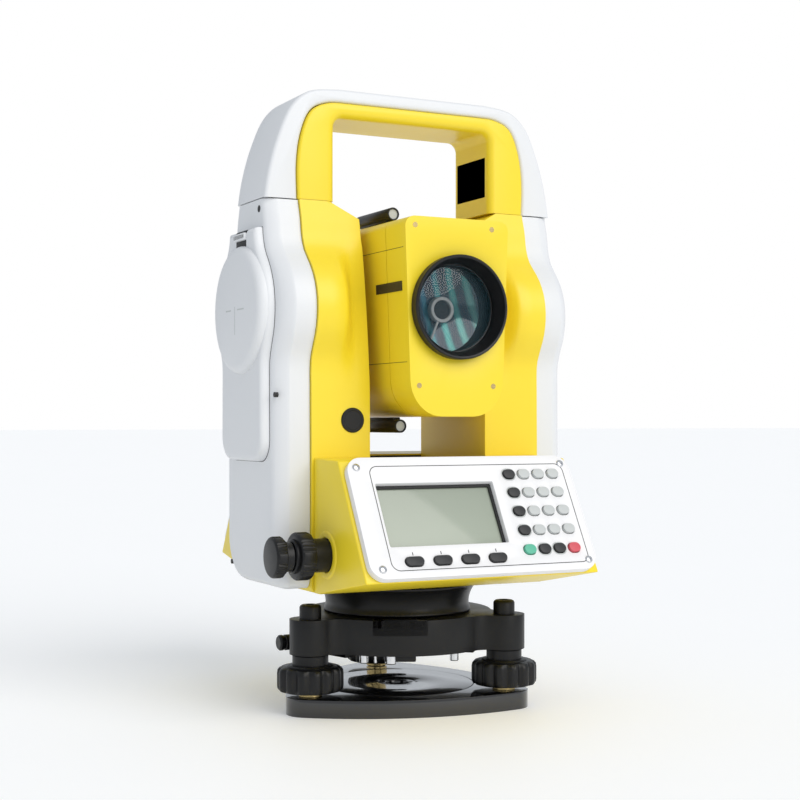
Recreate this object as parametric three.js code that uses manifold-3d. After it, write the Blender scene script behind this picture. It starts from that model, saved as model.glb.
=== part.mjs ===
// Surveying total station: a U-shaped alidade with a telescope between its standards, two keypad
// housings, side covers, a battery and a carrying handle, standing on a three-screw tribrach.
// Millimetres, +Z up. The vertical axis is x = y = 0 and z = 0 is the underside of the base plate.
// The objective and the main keypad face -Y, and the battery is on the -X side.

import * as THREE from 'three';
import { mergeVertices } from 'three/addons/utils/BufferGeometryUtils.js';
import Module from 'manifold-3d';

const wasm = await Module();
wasm.setup();

const DEG = Math.PI / 180;
const GAP = 0.3; // clearance left between touching pieces

// ---- driving dimensions -------------------------------------------------------------------------

// Tribrach
const SCREW_CIRCLE = 66; // foot screws' distance from the vertical axis
const SCREW_ANGLES = [74.5, 194.5, 314.5]; // their directions, degrees from +X
const PLATE_THICKNESS = 10;
const PLATE_SEAT_Z = 4; // floor of the pits that the foot screws stand in
const SPINDLE_FOOT_R = 4.9;
const PLATE_CORNER_R = 14;
const PLATE_SIDE_R = 59; // from the axis to the middle of a convex side
const TRIPOD_BORE_R = 7.2; // clears the thread of a 5/8 inch tripod screw
const SPRING_PLATE_R = 45.5;
const KNOB_R = 19;
const KNOB_Z = [13, 27];
const BODY_Z = [34, 54];
const BODY_R = 56;
const LOBE_R = 12;
const LOBE_FILLET_R = 10;
const CAP_R = 6.25;
const CAP_TOP = 62;
const SOCKET_R = 28; // the instrument's seat in the tribrach
const LEVEL_AT = { angle: 45, radius: 57, r: 10 };
const LOCK = { y: 1, z: 38.6, r: 4.5, shankR: 2.6, reach: [67, 76.5] };
const NOTCH_ANGLE = 245; // direction of the notch cut in the tribrach body's rim

// Alidade
const CASING_BOTTOM = 71.2;
const FRAME_HALF_WIDTH = 73.4;
const SLOT_HALF_WIDTH = 37.5; // between the standards' inner faces
const SLOT_BOTTOM = 129;
const SLOT_CORNER_R = 16;
const SHOULDER = { x: 55, low: 282 }; // the standards' tops slope down to the slot
const SEAM_Z = 291.6; // top of the standards, where the handle sits
const WALL = 4;
const TRUNNION_Z = 229.5;
const TRUNNION_R = 15;
const SPINDLE_R = 15;
const SPINDLE_TOP = 100;
// Half of the alidade's front-to-back depth at each height. Its flanks swell round the trunnion, and
// the standards' edges beside the telescope don't: the swelling fades out between FADE's two x.
const FLANK = {
  z: [60, 140, 185, 200, 208, 217, 228, 239, 248, 255, 262, 270, 281, 292, 304],
  half: [40, 40.3, 40, 40.3, 43.6, 48, 50, 48.6, 44.4, 38.8, 32, 28.2, 26.2, 23, 22],
};
const SPINE = {
  z: [60, 140, 180, 200, 229, 256, 281, 292, 304],
  half: [40, 40.3, 40, 38.7, 35.5, 31.6, 26.2, 23, 22],
};
const FADE = [46, 57];

// Side covers
const COVER_BOTTOM = 73.4;
const COVER_CORNER_R = { front: 6, rear: 22 };
const COVER_FACE = 94;
const COVER_SHELL = 2.5;
const COVER_SETBACK = 2;
const COVER_BEVEL = { front: 0.2, rear: 4 }; // front bevel as a share of the half depth, rear in mm
const COVER_SECTIONS = [[73.7, 0], [85.5, 0], [89.8, 0.28], [92.6, 0.62], [COVER_FACE, 1]]; // [x, bevel]
const BATTERY_Z = [144, 275];
const BATTERY_FLOOR = 78;
const BATTERY_SECTIONS = [[BATTERY_FLOOR, 0], [97, 0], [99.5, 2.5]]; // [x, inset]
const BATTERY_LOBE = [[98, 36.5], [102, 35.5], [103.5, 32]]; // [x, radius] about the trunnion
const LATCH = { halfWidth: 8, z: [266, 273], x: [95.3, 99], slotX: 95, fingerRoom: 2.8 };

// Handle
const HANDLE_TOP = 356.5;
const HANDLE_HALF_DEPTH = 22.5;
const GRIP = { halfWidth: 51, top: 340, cornerR: 9 };
const HANDLE_OUTER = [[94, SEAM_Z + GAP], [91.5, 307], [86.5, 325], [78, 344], [66, 354], [48, HANDLE_TOP]];
const HANDLE_INNER = [[73.7, SEAM_Z + GAP], [74, 312], [71.5, 329], [65.5, 342.5], [55, 347.8], [42, 348.5]];
const WINDOW = { x: [49, 68], halfDepth: 17, z: [302, 326] };
const HANDLE_SCREW = { x: 59.5, r: 7.2, shankR: 3, z: [302.6, 316], bottom: 283 };

// Keypads: each panel lies on a plane that leans back from the vertical
const PANEL_LEAN = 29.3 * DEG;
const PANEL_CENTRE = { y: -92.9, z: 116 };
const PANEL = { halfWidth: 70, halfHeight: 35.5, cornerR: 9, thickness: 4.3, bevel: 1.6 };
const HOUSING_HALF_WIDTH = 72;
const HOUSING_TOP = 146;
const HOUSING_FACE = 40.6; // its back, a little clear of the casting
const HOUSING_HEEL = 46; // where its underside meets the sloping front
const HOUSING_POCKET = { halfWidth: 64, halfHeight: 31.5, depth: 9 };
const LCD_WINDOW = { x: [-55.5, 16.8], v: [-17.5, 19.7] };
const LCD_MARGIN = 3.2;
const LCD_THICKNESS = 2.6;
const SOFT_KEYS = { x: [-43.6, -26.7, -9.9, 7], v: -26.4, size: [10.5, 5] };
const GRID_KEYS = { x: [28.4, 38, 47.6, 57.2], v: [23.6, 12.2, 0.7, -10.9, -22.5], size: [7.2, 5.4] };
const KEY = { proud: 1.4, back: 4.2, clearance: 0.4 };
const MAT_SHEET = [-5.6, -4.6];

// Clamp and tangent knobs, one coaxial pair for each motion
const DRIVE = { barrelR: 9.2, clampR: 13, tangentR: 11.2, shaftR: 4.5 };
const DRIVE_BOSS = { wall: 3.5, proud: 0.8 };
// Each drive's axis, and where its barrel, clamp knob, neck and tangent knob end, from the casing.
const HORIZONTAL_DRIVE = { y: -57, z: 93.7, lengths: [10.5, 19.5, 26.5, 33] };
const VERTICAL_DRIVE = { y: 26, z: 190, lengths: [4, 12.5, 17.5, 24] };

// Telescope
const TELESCOPE = { halfWidth: 31, z: [169, 279], y: [-74, 56], bellyR: 20, topR: 6 };
const OBJECTIVE = { ringR: 29, sleeveR: 26.6, boreR: 24.5, front: -80 };
const EYEPIECE = { barrelR: 21, neckR: 14, tubeR: 10, focusR: 22.5, ringR: 15.5 };
const SIGHT = { x: -22, r: 3.8, length: 44 };

const FINISHES = {
  yellow: { color: 0xf7d90a, roughness: 0.42, metalness: 0 },
  white: { color: 0xd9dbdc, roughness: 0.45, metalness: 0 },
  panel: { color: 0xe9e9ea, roughness: 0.4, metalness: 0 },
  black: { color: 0x2b2d30, roughness: 0.5, metalness: 0.1 },
  gloss: { color: 0x17181a, roughness: 0.12, metalness: 0.2 },
  rubber: { color: 0x202124, roughness: 0.7, metalness: 0 },
  steel: { color: 0xb9bcc0, roughness: 0.3, metalness: 1 },
  lcd: { color: 0x9aa694, roughness: 0.25, metalness: 0 },
  lens: { color: 0x2f7f92, roughness: 0.08, metalness: 0.3 },
  green: { color: 0x43b78a, roughness: 0.5, metalness: 0 },
  red: { color: 0xd0525c, roughness: 0.5, metalness: 0 },
  pale: { color: 0xc7cccb, roughness: 0.5, metalness: 0 },
};

// ---- solids -------------------------------------------------------------------------------------

// Rotations that carry a shape's (u, v, depth) to the row frame, by the axis the depth runs along.
const ALONG = {
  x: new THREE.Matrix4().makeBasis(
    new THREE.Vector3(0, 1, 0), new THREE.Vector3(0, 0, 1), new THREE.Vector3(1, 0, 0)),
  y: new THREE.Matrix4().makeBasis(
    new THREE.Vector3(1, 0, 0), new THREE.Vector3(0, 0, 1), new THREE.Vector3(0, -1, 0)),
  z: new THREE.Matrix4(),
};

/** A closed mesh as a solid that can be joined and cut. */
function solidOf(geometry) {
  const bare = new THREE.BufferGeometry();
  bare.setAttribute('position', geometry.attributes.position);
  bare.setIndex(geometry.index);
  const merged = mergeVertices(bare, 1e-4);
  const corners = merged.index.array;
  const faces = [];
  for (let i = 0; i < corners.length; i += 3) {
    const [a, b, c] = [corners[i], corners[i + 1], corners[i + 2]];
    if (a !== b && b !== c && c !== a) faces.push(a, b, c);
  }
  return new wasm.Manifold(new wasm.Mesh({
    numProp: 3,
    vertProperties: new Float32Array(merged.attributes.position.array),
    triVerts: new Uint32Array(faces),
  }));
}

/** A solid's surface as a three.js geometry. */
function geometryOf(solid) {
  const mesh = solid.getMesh();
  const geometry = new THREE.BufferGeometry();
  geometry.setAttribute('position', new THREE.BufferAttribute(mesh.vertProperties.slice(), 3));
  geometry.setIndex(new THREE.BufferAttribute(mesh.triVerts.slice(), 1));
  geometry.computeVertexNormals();
  return geometry;
}

/** A shape drawn in (u, v) and extruded from `from` to `to` along an axis. */
function extrude(shape, from, to, { axis = 'z', bevel = 0, bevelSegments = 2, curveSegments = 4 } = {}) {
  const geometry = new THREE.ExtrudeGeometry(shape, {
    depth: to - from - 2 * bevel,
    bevelEnabled: bevel > 0,
    bevelThickness: bevel,
    bevelSize: bevel,
    bevelOffset: -bevel,
    bevelSegments,
    curveSegments,
  });
  const start = axis === 'y' ? -to : from;
  geometry.translate(0, 0, start + bevel);
  geometry.applyMatrix4(ALONG[axis]);
  return solidOf(geometry);
}

/** A closed profile of [radius, height] points turned about an axis through `at`. */
function revolve(profile, { axis = 'z', at = [0, 0, 0], segments = 26 } = {}) {
  const points = profile.map(([radius, height]) => new THREE.Vector2(radius, height));
  if (THREE.ShapeUtils.area(points) < 0) points.reverse();
  const geometry = new THREE.LatheGeometry(points, segments);
  if (axis !== 'y') geometry.rotateX(90 * DEG); // from +Y to +Z
  if (axis === 'x') geometry.applyMatrix4(ALONG.x);
  geometry.translate(...at);
  return solidOf(geometry);
}

const cylinder = (r, low, high, options) => revolve([[0, low], [r, low], [r, high], [0, high]], options);

const ring = (inner, outer, low, high, options) =>
  revolve([[inner, low], [outer, low], [outer, high], [inner, high], [inner, low]], options);

/** A box between two limits along each axis, then turned about the vertical axis. */
function box(x, y, z, turn = 0) {
  const geometry = new THREE.BoxGeometry(x[1] - x[0], y[1] - y[0], z[1] - z[0]);
  geometry.translate((x[0] + x[1]) / 2, (y[0] + y[1]) / 2, (z[0] + z[1]) / 2);
  geometry.rotateZ(turn * DEG);
  return solidOf(geometry);
}

/** A skin through rings of points, closed by a flat cap at each end. */
function loft(rings) {
  const count = rings[0].length;
  const positions = rings.flat().flatMap((p) => [p.x, p.y, p.z]);
  const faces = [];
  for (let k = 0; k + 1 < rings.length; k++) {
    for (let i = 0; i < count; i++) {
      const [a, b] = [k * count + i, k * count + ((i + 1) % count)];
      faces.push(a, b, b + count, a, b + count, a + count);
    }
  }
  const flat = rings[0].map((p) => new THREE.Vector2(p.y, p.z));
  const last = (rings.length - 1) * count;
  for (const [a, b, c] of THREE.ShapeUtils.triangulateShape(flat, [])) {
    faces.push(c, b, a, last + a, last + b, last + c);
  }
  if (rings[0][0].x > rings[rings.length - 1][0].x) faces.reverse();
  const geometry = new THREE.BufferGeometry();
  geometry.setAttribute('position', new THREE.Float32BufferAttribute(positions, 3));
  geometry.setIndex(faces);
  return solidOf(geometry);
}

const joined = (...solids) => solids.reduce((sum, solid) => sum.add(solid));
const without = (solid, ...cutters) => cutters.reduce((rest, cutter) => rest.subtract(cutter), solid);

// ---- outlines -----------------------------------------------------------------------------------

const polar = (radius, degrees) => [radius * Math.cos(degrees * DEG), radius * Math.sin(degrees * DEG)];

function polygon(points) {
  return new THREE.Shape(points.map(([u, v]) => new THREE.Vector2(u, v)));
}

function roundedRectangle([u0, u1], [v0, v1], lowR, highR = lowR) {
  const shape = new THREE.Shape();
  shape.absarc(u1 - lowR, v0 + lowR, lowR, -90 * DEG, 0);
  shape.absarc(u1 - highR, v1 - highR, highR, 0, 90 * DEG);
  shape.absarc(u0 + highR, v1 - highR, highR, 90 * DEG, 180 * DEG);
  shape.absarc(u0 + lowR, v0 + lowR, lowR, 180 * DEG, 270 * DEG);
  return shape;
}

/** The same right-hand curve on both sides of the v axis, closed along the bottom. */
function archShape(points, divisions = 14) {
  const right = new THREE.SplineCurve(points.map(([u, v]) => new THREE.Vector2(u, v))).getPoints(divisions);
  const left = right.map((p) => new THREE.Vector2(-p.x, p.y)).reverse();
  return new THREE.Shape([...right, ...left]);
}

/** Three round corners joined by convex sides that pass `sideR` from the centre. */
function convexTriangle(cornerCircle, cornerR, sideR) {
  const reach = sideR - cornerR;
  const offset = (reach ** 2 - cornerCircle ** 2) / (2 * (reach - cornerCircle * Math.cos(60 * DEG)));
  const half = cornerCircle * Math.sin(60 * DEG);
  const turn = Math.atan2(half, cornerCircle * Math.cos(60 * DEG) - offset);
  const shape = new THREE.Shape();
  for (const angle of SCREW_ANGLES) {
    const side = (angle + 60) * DEG;
    shape.absarc(...polar(cornerCircle, angle), cornerR, side - 120 * DEG + turn, side - turn);
    shape.absarc(offset * Math.cos(side), offset * Math.sin(side), sideR - offset, side - turn, side + turn);
  }
  return shape;
}

/** A disc with a lobe at each foot screw, blended by hollow fillets. */
function lobedDisc(discR, lobeCircle, lobeR, filletR) {
  const reach = discR + filletR;
  const spread = Math.acos(
    (reach ** 2 + lobeCircle ** 2 - (lobeR + filletR) ** 2) / (2 * reach * lobeCircle)) / DEG;
  const shape = new THREE.Shape();
  for (const angle of SCREW_ANGLES) {
    const [lobeX, lobeY] = polar(lobeCircle, angle);
    const bearing = (at) => Math.atan2(at[1] - lobeY, at[0] - lobeX);
    const before = polar(reach, angle - spread);
    const after = polar(reach, angle + spread);
    shape.absarc(...before, filletR, (angle - spread + 180) * DEG, bearing(before) + Math.PI, true);
    shape.absarc(lobeX, lobeY, lobeR, bearing(before), bearing(after));
    shape.absarc(...after, filletR, bearing(after) + Math.PI, (angle + spread + 180) * DEG, true);
    shape.absarc(0, 0, discR, (angle + spread) * DEG, (angle + 120 - spread) * DEG);
  }
  return shape;
}

const curveThrough = ({ z, half }) => {
  const curve = new THREE.CubicInterpolant(z, half, 1);
  return (at) => curve.evaluate(at)[0];
};
const flankAt = curveThrough(FLANK);
const spineAt = curveThrough(SPINE);

/** The alidade's side outline in (y, z), with its own inset and bottom corner at front and rear. */
function sideOutline([bottom, top], { front, rear }, depthAt = flankAt, steps = 18) {
  const climb = (side, { inset, cornerR }) => {
    const low = bottom + cornerR;
    const half = (z) => depthAt(z) - inset(depthAt(z));
    const points = [];
    const cornerSteps = 3;
    for (let k = 0; k < cornerSteps; k++) {
      const angle = (k / cornerSteps) * 90 * DEG;
      const y = half(low) - cornerR * (1 - Math.sin(angle));
      points.push(new THREE.Vector2(side * y, low - cornerR * Math.cos(angle)));
    }
    for (let k = 0; k <= steps; k++) {
      const z = THREE.MathUtils.lerp(low, top, k / steps);
      points.push(new THREE.Vector2(side * half(z), z));
    }
    return points;
  };
  return [...climb(1, rear), ...climb(-1, front).reverse()];
}

const evenSides = (inset, cornerR) => ({
  front: { inset: () => inset, cornerR },
  rear: { inset: () => inset, cornerR },
});

// ---- the scene ----------------------------------------------------------------------------------

const group = new THREE.Group();

function part(name, shape, finish, parent = group) {
  const mesh = new THREE.Mesh(geometryOf(shape), new THREE.MeshStandardMaterial(FINISHES[finish]));
  mesh.name = name;
  parent.add(mesh);
  return mesh;
}

// ---- tribrach -----------------------------------------------------------------------------------

const atScrew = (index) => [...polar(SCREW_CIRCLE, SCREW_ANGLES[index]), 0];

function tribrachPlate() {
  const blank = extrude(
    convexTriangle(SCREW_CIRCLE, PLATE_CORNER_R, PLATE_SIDE_R), 0, PLATE_THICKNESS,
    { bevel: 0.8, bevelSegments: 1 });
  const seats = SCREW_ANGLES.map((_, k) =>
    cylinder(SPINDLE_FOOT_R + 0.5, PLATE_SEAT_Z, PLATE_THICKNESS + 1, { at: atScrew(k), segments: 16 }));
  const bore = cylinder(TRIPOD_BORE_R, -1, PLATE_THICKNESS + 1);
  const rebate = cylinder(SPRING_PLATE_R + GAP, PLATE_THICKNESS - 1.6, PLATE_THICKNESS + 1, { segments: 48 });
  return without(blank, bore, rebate, ...seats);
}

function footScrew(index) {
  const [low, high] = KNOB_Z;
  const profile = [
    [0, PLATE_SEAT_Z + 0.4], [3, PLATE_SEAT_Z + 0.4], [SPINDLE_FOOT_R, 6.2], [SPINDLE_FOOT_R, 8.5], [4, 10.5],
    [4, low], [KNOB_R - 1.2, low], [KNOB_R, low + 1.2],
    [KNOB_R, high - 1.2], [KNOB_R - 1.2, high], [9.5, high], [9.5, BODY_Z[0] - GAP], [4.5, BODY_Z[0] - GAP],
    [4.5, BODY_Z[1] - 2], [0, BODY_Z[1] - 2],
  ];
  return revolve(profile, { at: atScrew(index), segments: 20 });
}

function tribrachBody() {
  const [low, high] = BODY_Z;
  const rim = extrude(lobedDisc(BODY_R, SCREW_CIRCLE, LOBE_R, LOBE_FILLET_R), low, high, {
    bevel: 0.8, bevelSegments: 1 });
  const levelAt = [...polar(LEVEL_AT.radius, LEVEL_AT.angle), 0];
  const levelBoss = cylinder(LEVEL_AT.r + 3, low, high, { at: levelAt, segments: 24 });
  const capProfile = [
    [0, high - 1], [CAP_R, high - 1], [CAP_R, CAP_TOP - 0.8], [CAP_R - 0.8, CAP_TOP], [0, CAP_TOP]];
  const caps = SCREW_ANGLES.map((_, k) => revolve(capProfile, { at: atScrew(k), segments: 20 }));
  const shankBores = SCREW_ANGLES.map((_, k) =>
    cylinder(SPINDLE_FOOT_R, low - 1, high - 1, { at: atScrew(k), segments: 16 }));
  const seat = cylinder(SOCKET_R, low + 5, high + 1);
  const plummetHole = cylinder(SOCKET_R - 7, low - 1, high);
  const levelSeat = cylinder(LEVEL_AT.r + GAP, high - 5, high + 1, { at: levelAt, segments: 24 });
  const lockBore = cylinder(LOCK.shankR + GAP, -BODY_R - 30, -BODY_R + 17, {
    axis: 'x', at: [0, LOCK.y, LOCK.z], segments: 14 });
  const notch = box([BODY_R - 7, BODY_R + 4], [-15.5, 15.5], [high - 9, high + 1], NOTCH_ANGLE);
  return without(
    joined(rim, levelBoss, ...caps), ...shankBores, seat, plummetHole, levelSeat, lockBore, notch);
}

/** The instrument's own base: a plug in the tribrach, a flared skirt and the vertical spindle. */
function instrumentBase() {
  const [, seat] = BODY_Z;
  return revolve([
    [0, BODY_Z[0] + 6], [SOCKET_R - GAP, BODY_Z[0] + 6], [SOCKET_R - GAP, seat + GAP], [44, seat + GAP],
    [43, 59],
    [44.5, 64], [47, CASING_BOTTOM - 0.6], [SPINDLE_R, CASING_BOTTOM - 0.6], [SPINDLE_R, SPINDLE_TOP],
    [0, SPINDLE_TOP],
  ], { segments: 36 });
}

function lockKnob() {
  const [inner, outer] = LOCK.reach;
  return revolve([
    [0, 15 - BODY_R], [LOCK.shankR, 15 - BODY_R], [LOCK.shankR, -inner], [LOCK.r, -inner],
    [LOCK.r, 1 - outer], [LOCK.r - 1, -outer], [0, -outer],
  ], { axis: 'x', at: [0, LOCK.y, LOCK.z], segments: 20 });
}

part('base_plate', tribrachPlate(), 'gloss');
part('spring_plate', ring(TRIPOD_BORE_R + 4, SPRING_PLATE_R, PLATE_THICKNESS - 1.3, PLATE_THICKNESS + 0.2, {
  segments: 48 }), 'gloss');
SCREW_ANGLES.forEach((_, k) => part(`foot_screw_${k + 1}`, footScrew(k), 'black'));
part('tribrach_body', tribrachBody(), 'black');
part('circular_level', revolve([
  [0, BODY_Z[1] - 4.7], [LEVEL_AT.r, BODY_Z[1] - 4.7], [LEVEL_AT.r, BODY_Z[1] + 3],
  [LEVEL_AT.r - 1, BODY_Z[1] + 4], [0, BODY_Z[1] + 4.6],
], { at: [...polar(LEVEL_AT.radius, LEVEL_AT.angle), 0], segments: 24 }), 'steel');
part('lock_knob', lockKnob(), 'black');
part('instrument_base', instrumentBase(), 'black');

// ---- alidade frame ------------------------------------------------------------------------------

/** The casting's side outlines at several x, deep at the flanks and plain between the standards. */
function castingSkin(places, limits, inset, cornerR) {
  return loft(places.map((x) => sideOutline(limits, evenSides(inset, cornerR),
    Math.abs(x) < FADE[1] ? spineAt : flankAt).map((p) => new THREE.Vector3(x, p.x, p.y))));
}

/** The opening between the standards, drawn in (x, z), wider where the shoulders slope down to it. */
function slotShape() {
  const beyond = 3;
  const centre = [SLOT_HALF_WIDTH - SLOT_CORNER_R, SLOT_BOTTOM + SLOT_CORNER_R];
  const slot = new THREE.Shape();
  slot.moveTo(SHOULDER.x + beyond, SEAM_Z + beyond);
  slot.lineTo(-SHOULDER.x - beyond, SEAM_Z + beyond);
  slot.lineTo(-SHOULDER.x, SEAM_Z);
  slot.lineTo(-SLOT_HALF_WIDTH, SHOULDER.low);
  slot.absarc(-centre[0], centre[1], SLOT_CORNER_R, 180 * DEG, 270 * DEG);
  slot.absarc(centre[0], centre[1], SLOT_CORNER_R, -90 * DEG, 0);
  slot.lineTo(SLOT_HALF_WIDTH, SHOULDER.low);
  slot.lineTo(SHOULDER.x, SEAM_Z);
  return slot;
}

/** The casting: two hollow standards on a lower block, with a slot for the telescope between them. */
function yokeFrame() {
  const w = FRAME_HALF_WIDTH;
  const blank = castingSkin([-w, -FADE[1], -FADE[0], FADE[0], FADE[1], w], [CASING_BOTTOM, SEAM_Z], 0, 3);
  const cuts = [
    extrude(slotShape(), -60, 60, { axis: 'y' }),
    cylinder(SPINDLE_R + 0.4, CASING_BOTTOM - 5, SPINDLE_TOP + 3),
    cylinder(TRUNNION_R + GAP, -SLOT_HALF_WIDTH - 6, SLOT_HALF_WIDTH + 6, {
      axis: 'x', at: [0, 0, TRUNNION_Z] }),
  ];
  for (const side of [-1, 1]) {
    const places = [SLOT_HALF_WIDTH + WALL, FADE[0], FADE[1], w + 5].map((x) => side * x);
    cuts.push(castingSkin(places, [CASING_BOTTOM + 2 * WALL, SEAM_Z - 3 * WALL], WALL, 4));
    cuts.push(cylinder(HANDLE_SCREW.shankR + GAP, HANDLE_SCREW.bottom - 2, SEAM_Z + 3, {
      at: [side * HANDLE_SCREW.x, 0, 0], segments: 14 }));
  }
  return without(blank, ...cuts);
}

/** A cover's skin, set in by `shrink` all round, running from `inner` to the sections' last x. */
function coverSkin(side, shrink, inner) {
  const top = SEAM_Z - GAP - shrink;
  const rings = COVER_SECTIONS.map(([x, share], k) => {
    const at = k === 0 ? inner : x - shrink;
    const front = (half) => COVER_SETBACK + shrink + share * COVER_BEVEL.front * half;
    const rear = () => COVER_SETBACK + shrink + share * COVER_BEVEL.rear;
    const outline = sideOutline([COVER_BOTTOM + shrink + share * COVER_BEVEL.rear, top], {
      front: { inset: front, cornerR: COVER_CORNER_R.front },
      rear: { inset: rear, cornerR: COVER_CORNER_R.rear },
    });
    return outline.map((p) => new THREE.Vector3(side * at, p.x, p.y));
  });
  return loft(rings);
}

const coverShell = (side) =>
  without(coverSkin(side, 0, COVER_SECTIONS[0][0]), coverSkin(side, COVER_SHELL, 60));

function rightCover() {
  const bore = cylinder(DRIVE.barrelR + GAP, COVER_FACE - 10, COVER_FACE + 5, {
    axis: 'x', at: [0, VERTICAL_DRIVE.y, VERTICAL_DRIVE.z] });
  return without(coverShell(1), bore);
}

/** The battery's outline in (y, z), grown by `grow`, from its floor out along -X. */
function batteryBlock(grow, sections) {
  const limits = [BATTERY_Z[0] - grow, BATTERY_Z[1] + grow];
  const rings = sections.map(([x, inset]) => {
    const outline = sideOutline([limits[0] + inset, limits[1] - inset], {
      front: { inset: (half) => COVER_SETBACK + COVER_BEVEL.front * half + 1 - grow + inset, cornerR: 12 },
      rear: { inset: () => COVER_SETBACK + COVER_BEVEL.rear + 1 - grow + inset, cornerR: 12 },
    });
    return outline.map((p) => new THREE.Vector3(-x, p.x, p.y));
  });
  return loft(rings);
}

function leftCover() {
  const tray = batteryBlock(GAP + COVER_SHELL, [[BATTERY_FLOOR - COVER_SHELL - GAP, 0], [COVER_FACE - 1, 0]]);
  const bay = batteryBlock(GAP, [[BATTERY_FLOOR - GAP, 0], [COVER_FACE + 10, 0]]);
  const within = coverSkin(-1, 0, COVER_SECTIONS[0][0]);
  return without(joined(coverShell(-1), tray.intersect(within)), bay);
}

function battery() {
  const lobeProfile = BATTERY_LOBE.map(([x, radius]) => [radius, -x]);
  const lobe = revolve([[0, -90], [36.5, -90], ...lobeProfile, [0, -BATTERY_LOBE.at(-1)[0]]], {
    axis: 'x', at: [0, 0, TRUNNION_Z], segments: 36 });
  const block = batteryBlock(0, BATTERY_SECTIONS);
  const latchSlot = box([-110, -LATCH.slotX], [-LATCH.halfWidth - GAP, LATCH.halfWidth + GAP],
    [LATCH.z[0] - LATCH.fingerRoom, LATCH.z[1] + 10]);
  return without(joined(block, lobe), latchSlot);
}

part('yoke_frame', yokeFrame(), 'yellow');
part('left_cover', leftCover(), 'white');
part('right_cover', rightCover(), 'white');
part('battery', battery(), 'white');
part('battery_latch', box([-LATCH.x[1], -LATCH.x[0]], [-LATCH.halfWidth, LATCH.halfWidth], LATCH.z), 'black');

// ---- handle -------------------------------------------------------------------------------------

function handleFrame() {
  const block = extrude(archShape(HANDLE_INNER), -HANDLE_HALF_DEPTH, HANDLE_HALF_DEPTH, { axis: 'y' });
  const foot = SEAM_Z - 20;
  const openingShape = roundedRectangle([-GRIP.halfWidth, GRIP.halfWidth], [foot, GRIP.top], 1, GRIP.cornerR);
  const opening = extrude(openingShape, -40, 40, { axis: 'y' });
  const cuts = [opening];
  for (const side of [-1, 1]) {
    const x = [side * WINDOW.x[0], side * WINDOW.x[1]].sort((a, b) => a - b);
    cuts.push(box(x, [-WINDOW.halfDepth, WINDOW.halfDepth], WINDOW.z));
    cuts.push(cylinder(HANDLE_SCREW.shankR + GAP, SEAM_Z - 2, WINDOW.z[0] + 2, {
      at: [side * HANDLE_SCREW.x, 0, 0], segments: 14 }));
  }
  return without(block, ...cuts);
}

function handleCover() {
  const halfDepth = HANDLE_HALF_DEPTH - 1;
  const outer = extrude(archShape(HANDLE_OUTER), -halfDepth, halfDepth, { axis: 'y' });
  const hollow = HANDLE_INNER.map(([x, z], k) => (k === 0 ? [x + GAP, z - 12] : [x + GAP, z + GAP]));
  return without(outer, extrude(archShape(hollow), -40, 40, { axis: 'y' }));
}

function handleScrew(side) {
  const { r, shankR, z, bottom } = HANDLE_SCREW;
  return revolve([
    [0, bottom], [shankR, bottom], [shankR, z[0]], [r, z[0]], [r, z[1] - 1], [r - 1, z[1]], [0, z[1]],
  ], { at: [side * HANDLE_SCREW.x, 0, 0], segments: 20 });
}

part('handle_frame', handleFrame(), 'yellow');
part('handle_cover', handleCover(), 'white');
part('handle_screw_left', handleScrew(-1), 'black');
part('handle_screw_right', handleScrew(1), 'black');

// ---- keypads ------------------------------------------------------------------------------------

/** A point of a panel's plane in the front housing's (y, z): v up the slope and w out of the face. */
const panelPoint = (v, w) => [
  PANEL_CENTRE.y + v * Math.sin(PANEL_LEAN) - w * Math.cos(PANEL_LEAN),
  PANEL_CENTRE.z + v * Math.cos(PANEL_LEAN) + w * Math.sin(PANEL_LEAN),
];

/** The wedge-shaped housing that holds one keypad, with a pocket behind the panel. */
function keypadHousing(withDrive) {
  const back = -PANEL.thickness - GAP;
  const halfHeight = PANEL.halfHeight + 0.5;
  const side = polygon([
    panelPoint(halfHeight, back), panelPoint(-halfHeight, back), [-HOUSING_HEEL, CASING_BOTTOM],
    [-HOUSING_FACE, CASING_BOTTOM], [-HOUSING_FACE, HOUSING_TOP],
  ]);
  const block = extrude(side, -HOUSING_HALF_WIDTH, HOUSING_HALF_WIDTH, {
    axis: 'x', bevel: 2, bevelSegments: 1 });
  const { halfWidth, halfHeight: v, depth } = HOUSING_POCKET;
  const pocketSide = polygon([
    panelPoint(v, back + 3), panelPoint(-v, back + 3),
    panelPoint(-v, back - depth), panelPoint(v, back - depth),
  ]);
  const pocket = extrude(pocketSide, -halfWidth, halfWidth, { axis: 'x' });
  if (!withDrive) return without(block, pocket);
  const at = [0, HORIZONTAL_DRIVE.y, HORIZONTAL_DRIVE.z];
  const flank = -HOUSING_HALF_WIDTH;
  const boss = cylinder(DRIVE.barrelR + DRIVE_BOSS.wall, flank - DRIVE_BOSS.proud, flank + 8, {
    axis: 'x', at });
  const bore = cylinder(DRIVE.barrelR + GAP, flank - 5, flank + 5, { axis: 'x', at });
  return without(joined(block, boss), pocket, bore);
}

function pill([width, height], low, high, at, grow = 0) {
  const [w, h] = [width / 2 + grow, height / 2 + grow];
  const shape = roundedRectangle([at[0] - w, at[0] + w], [at[1] - h, at[1] + h], h - 0.01);
  return extrude(shape, low, high, { curveSegments: 1 });
}

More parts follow.
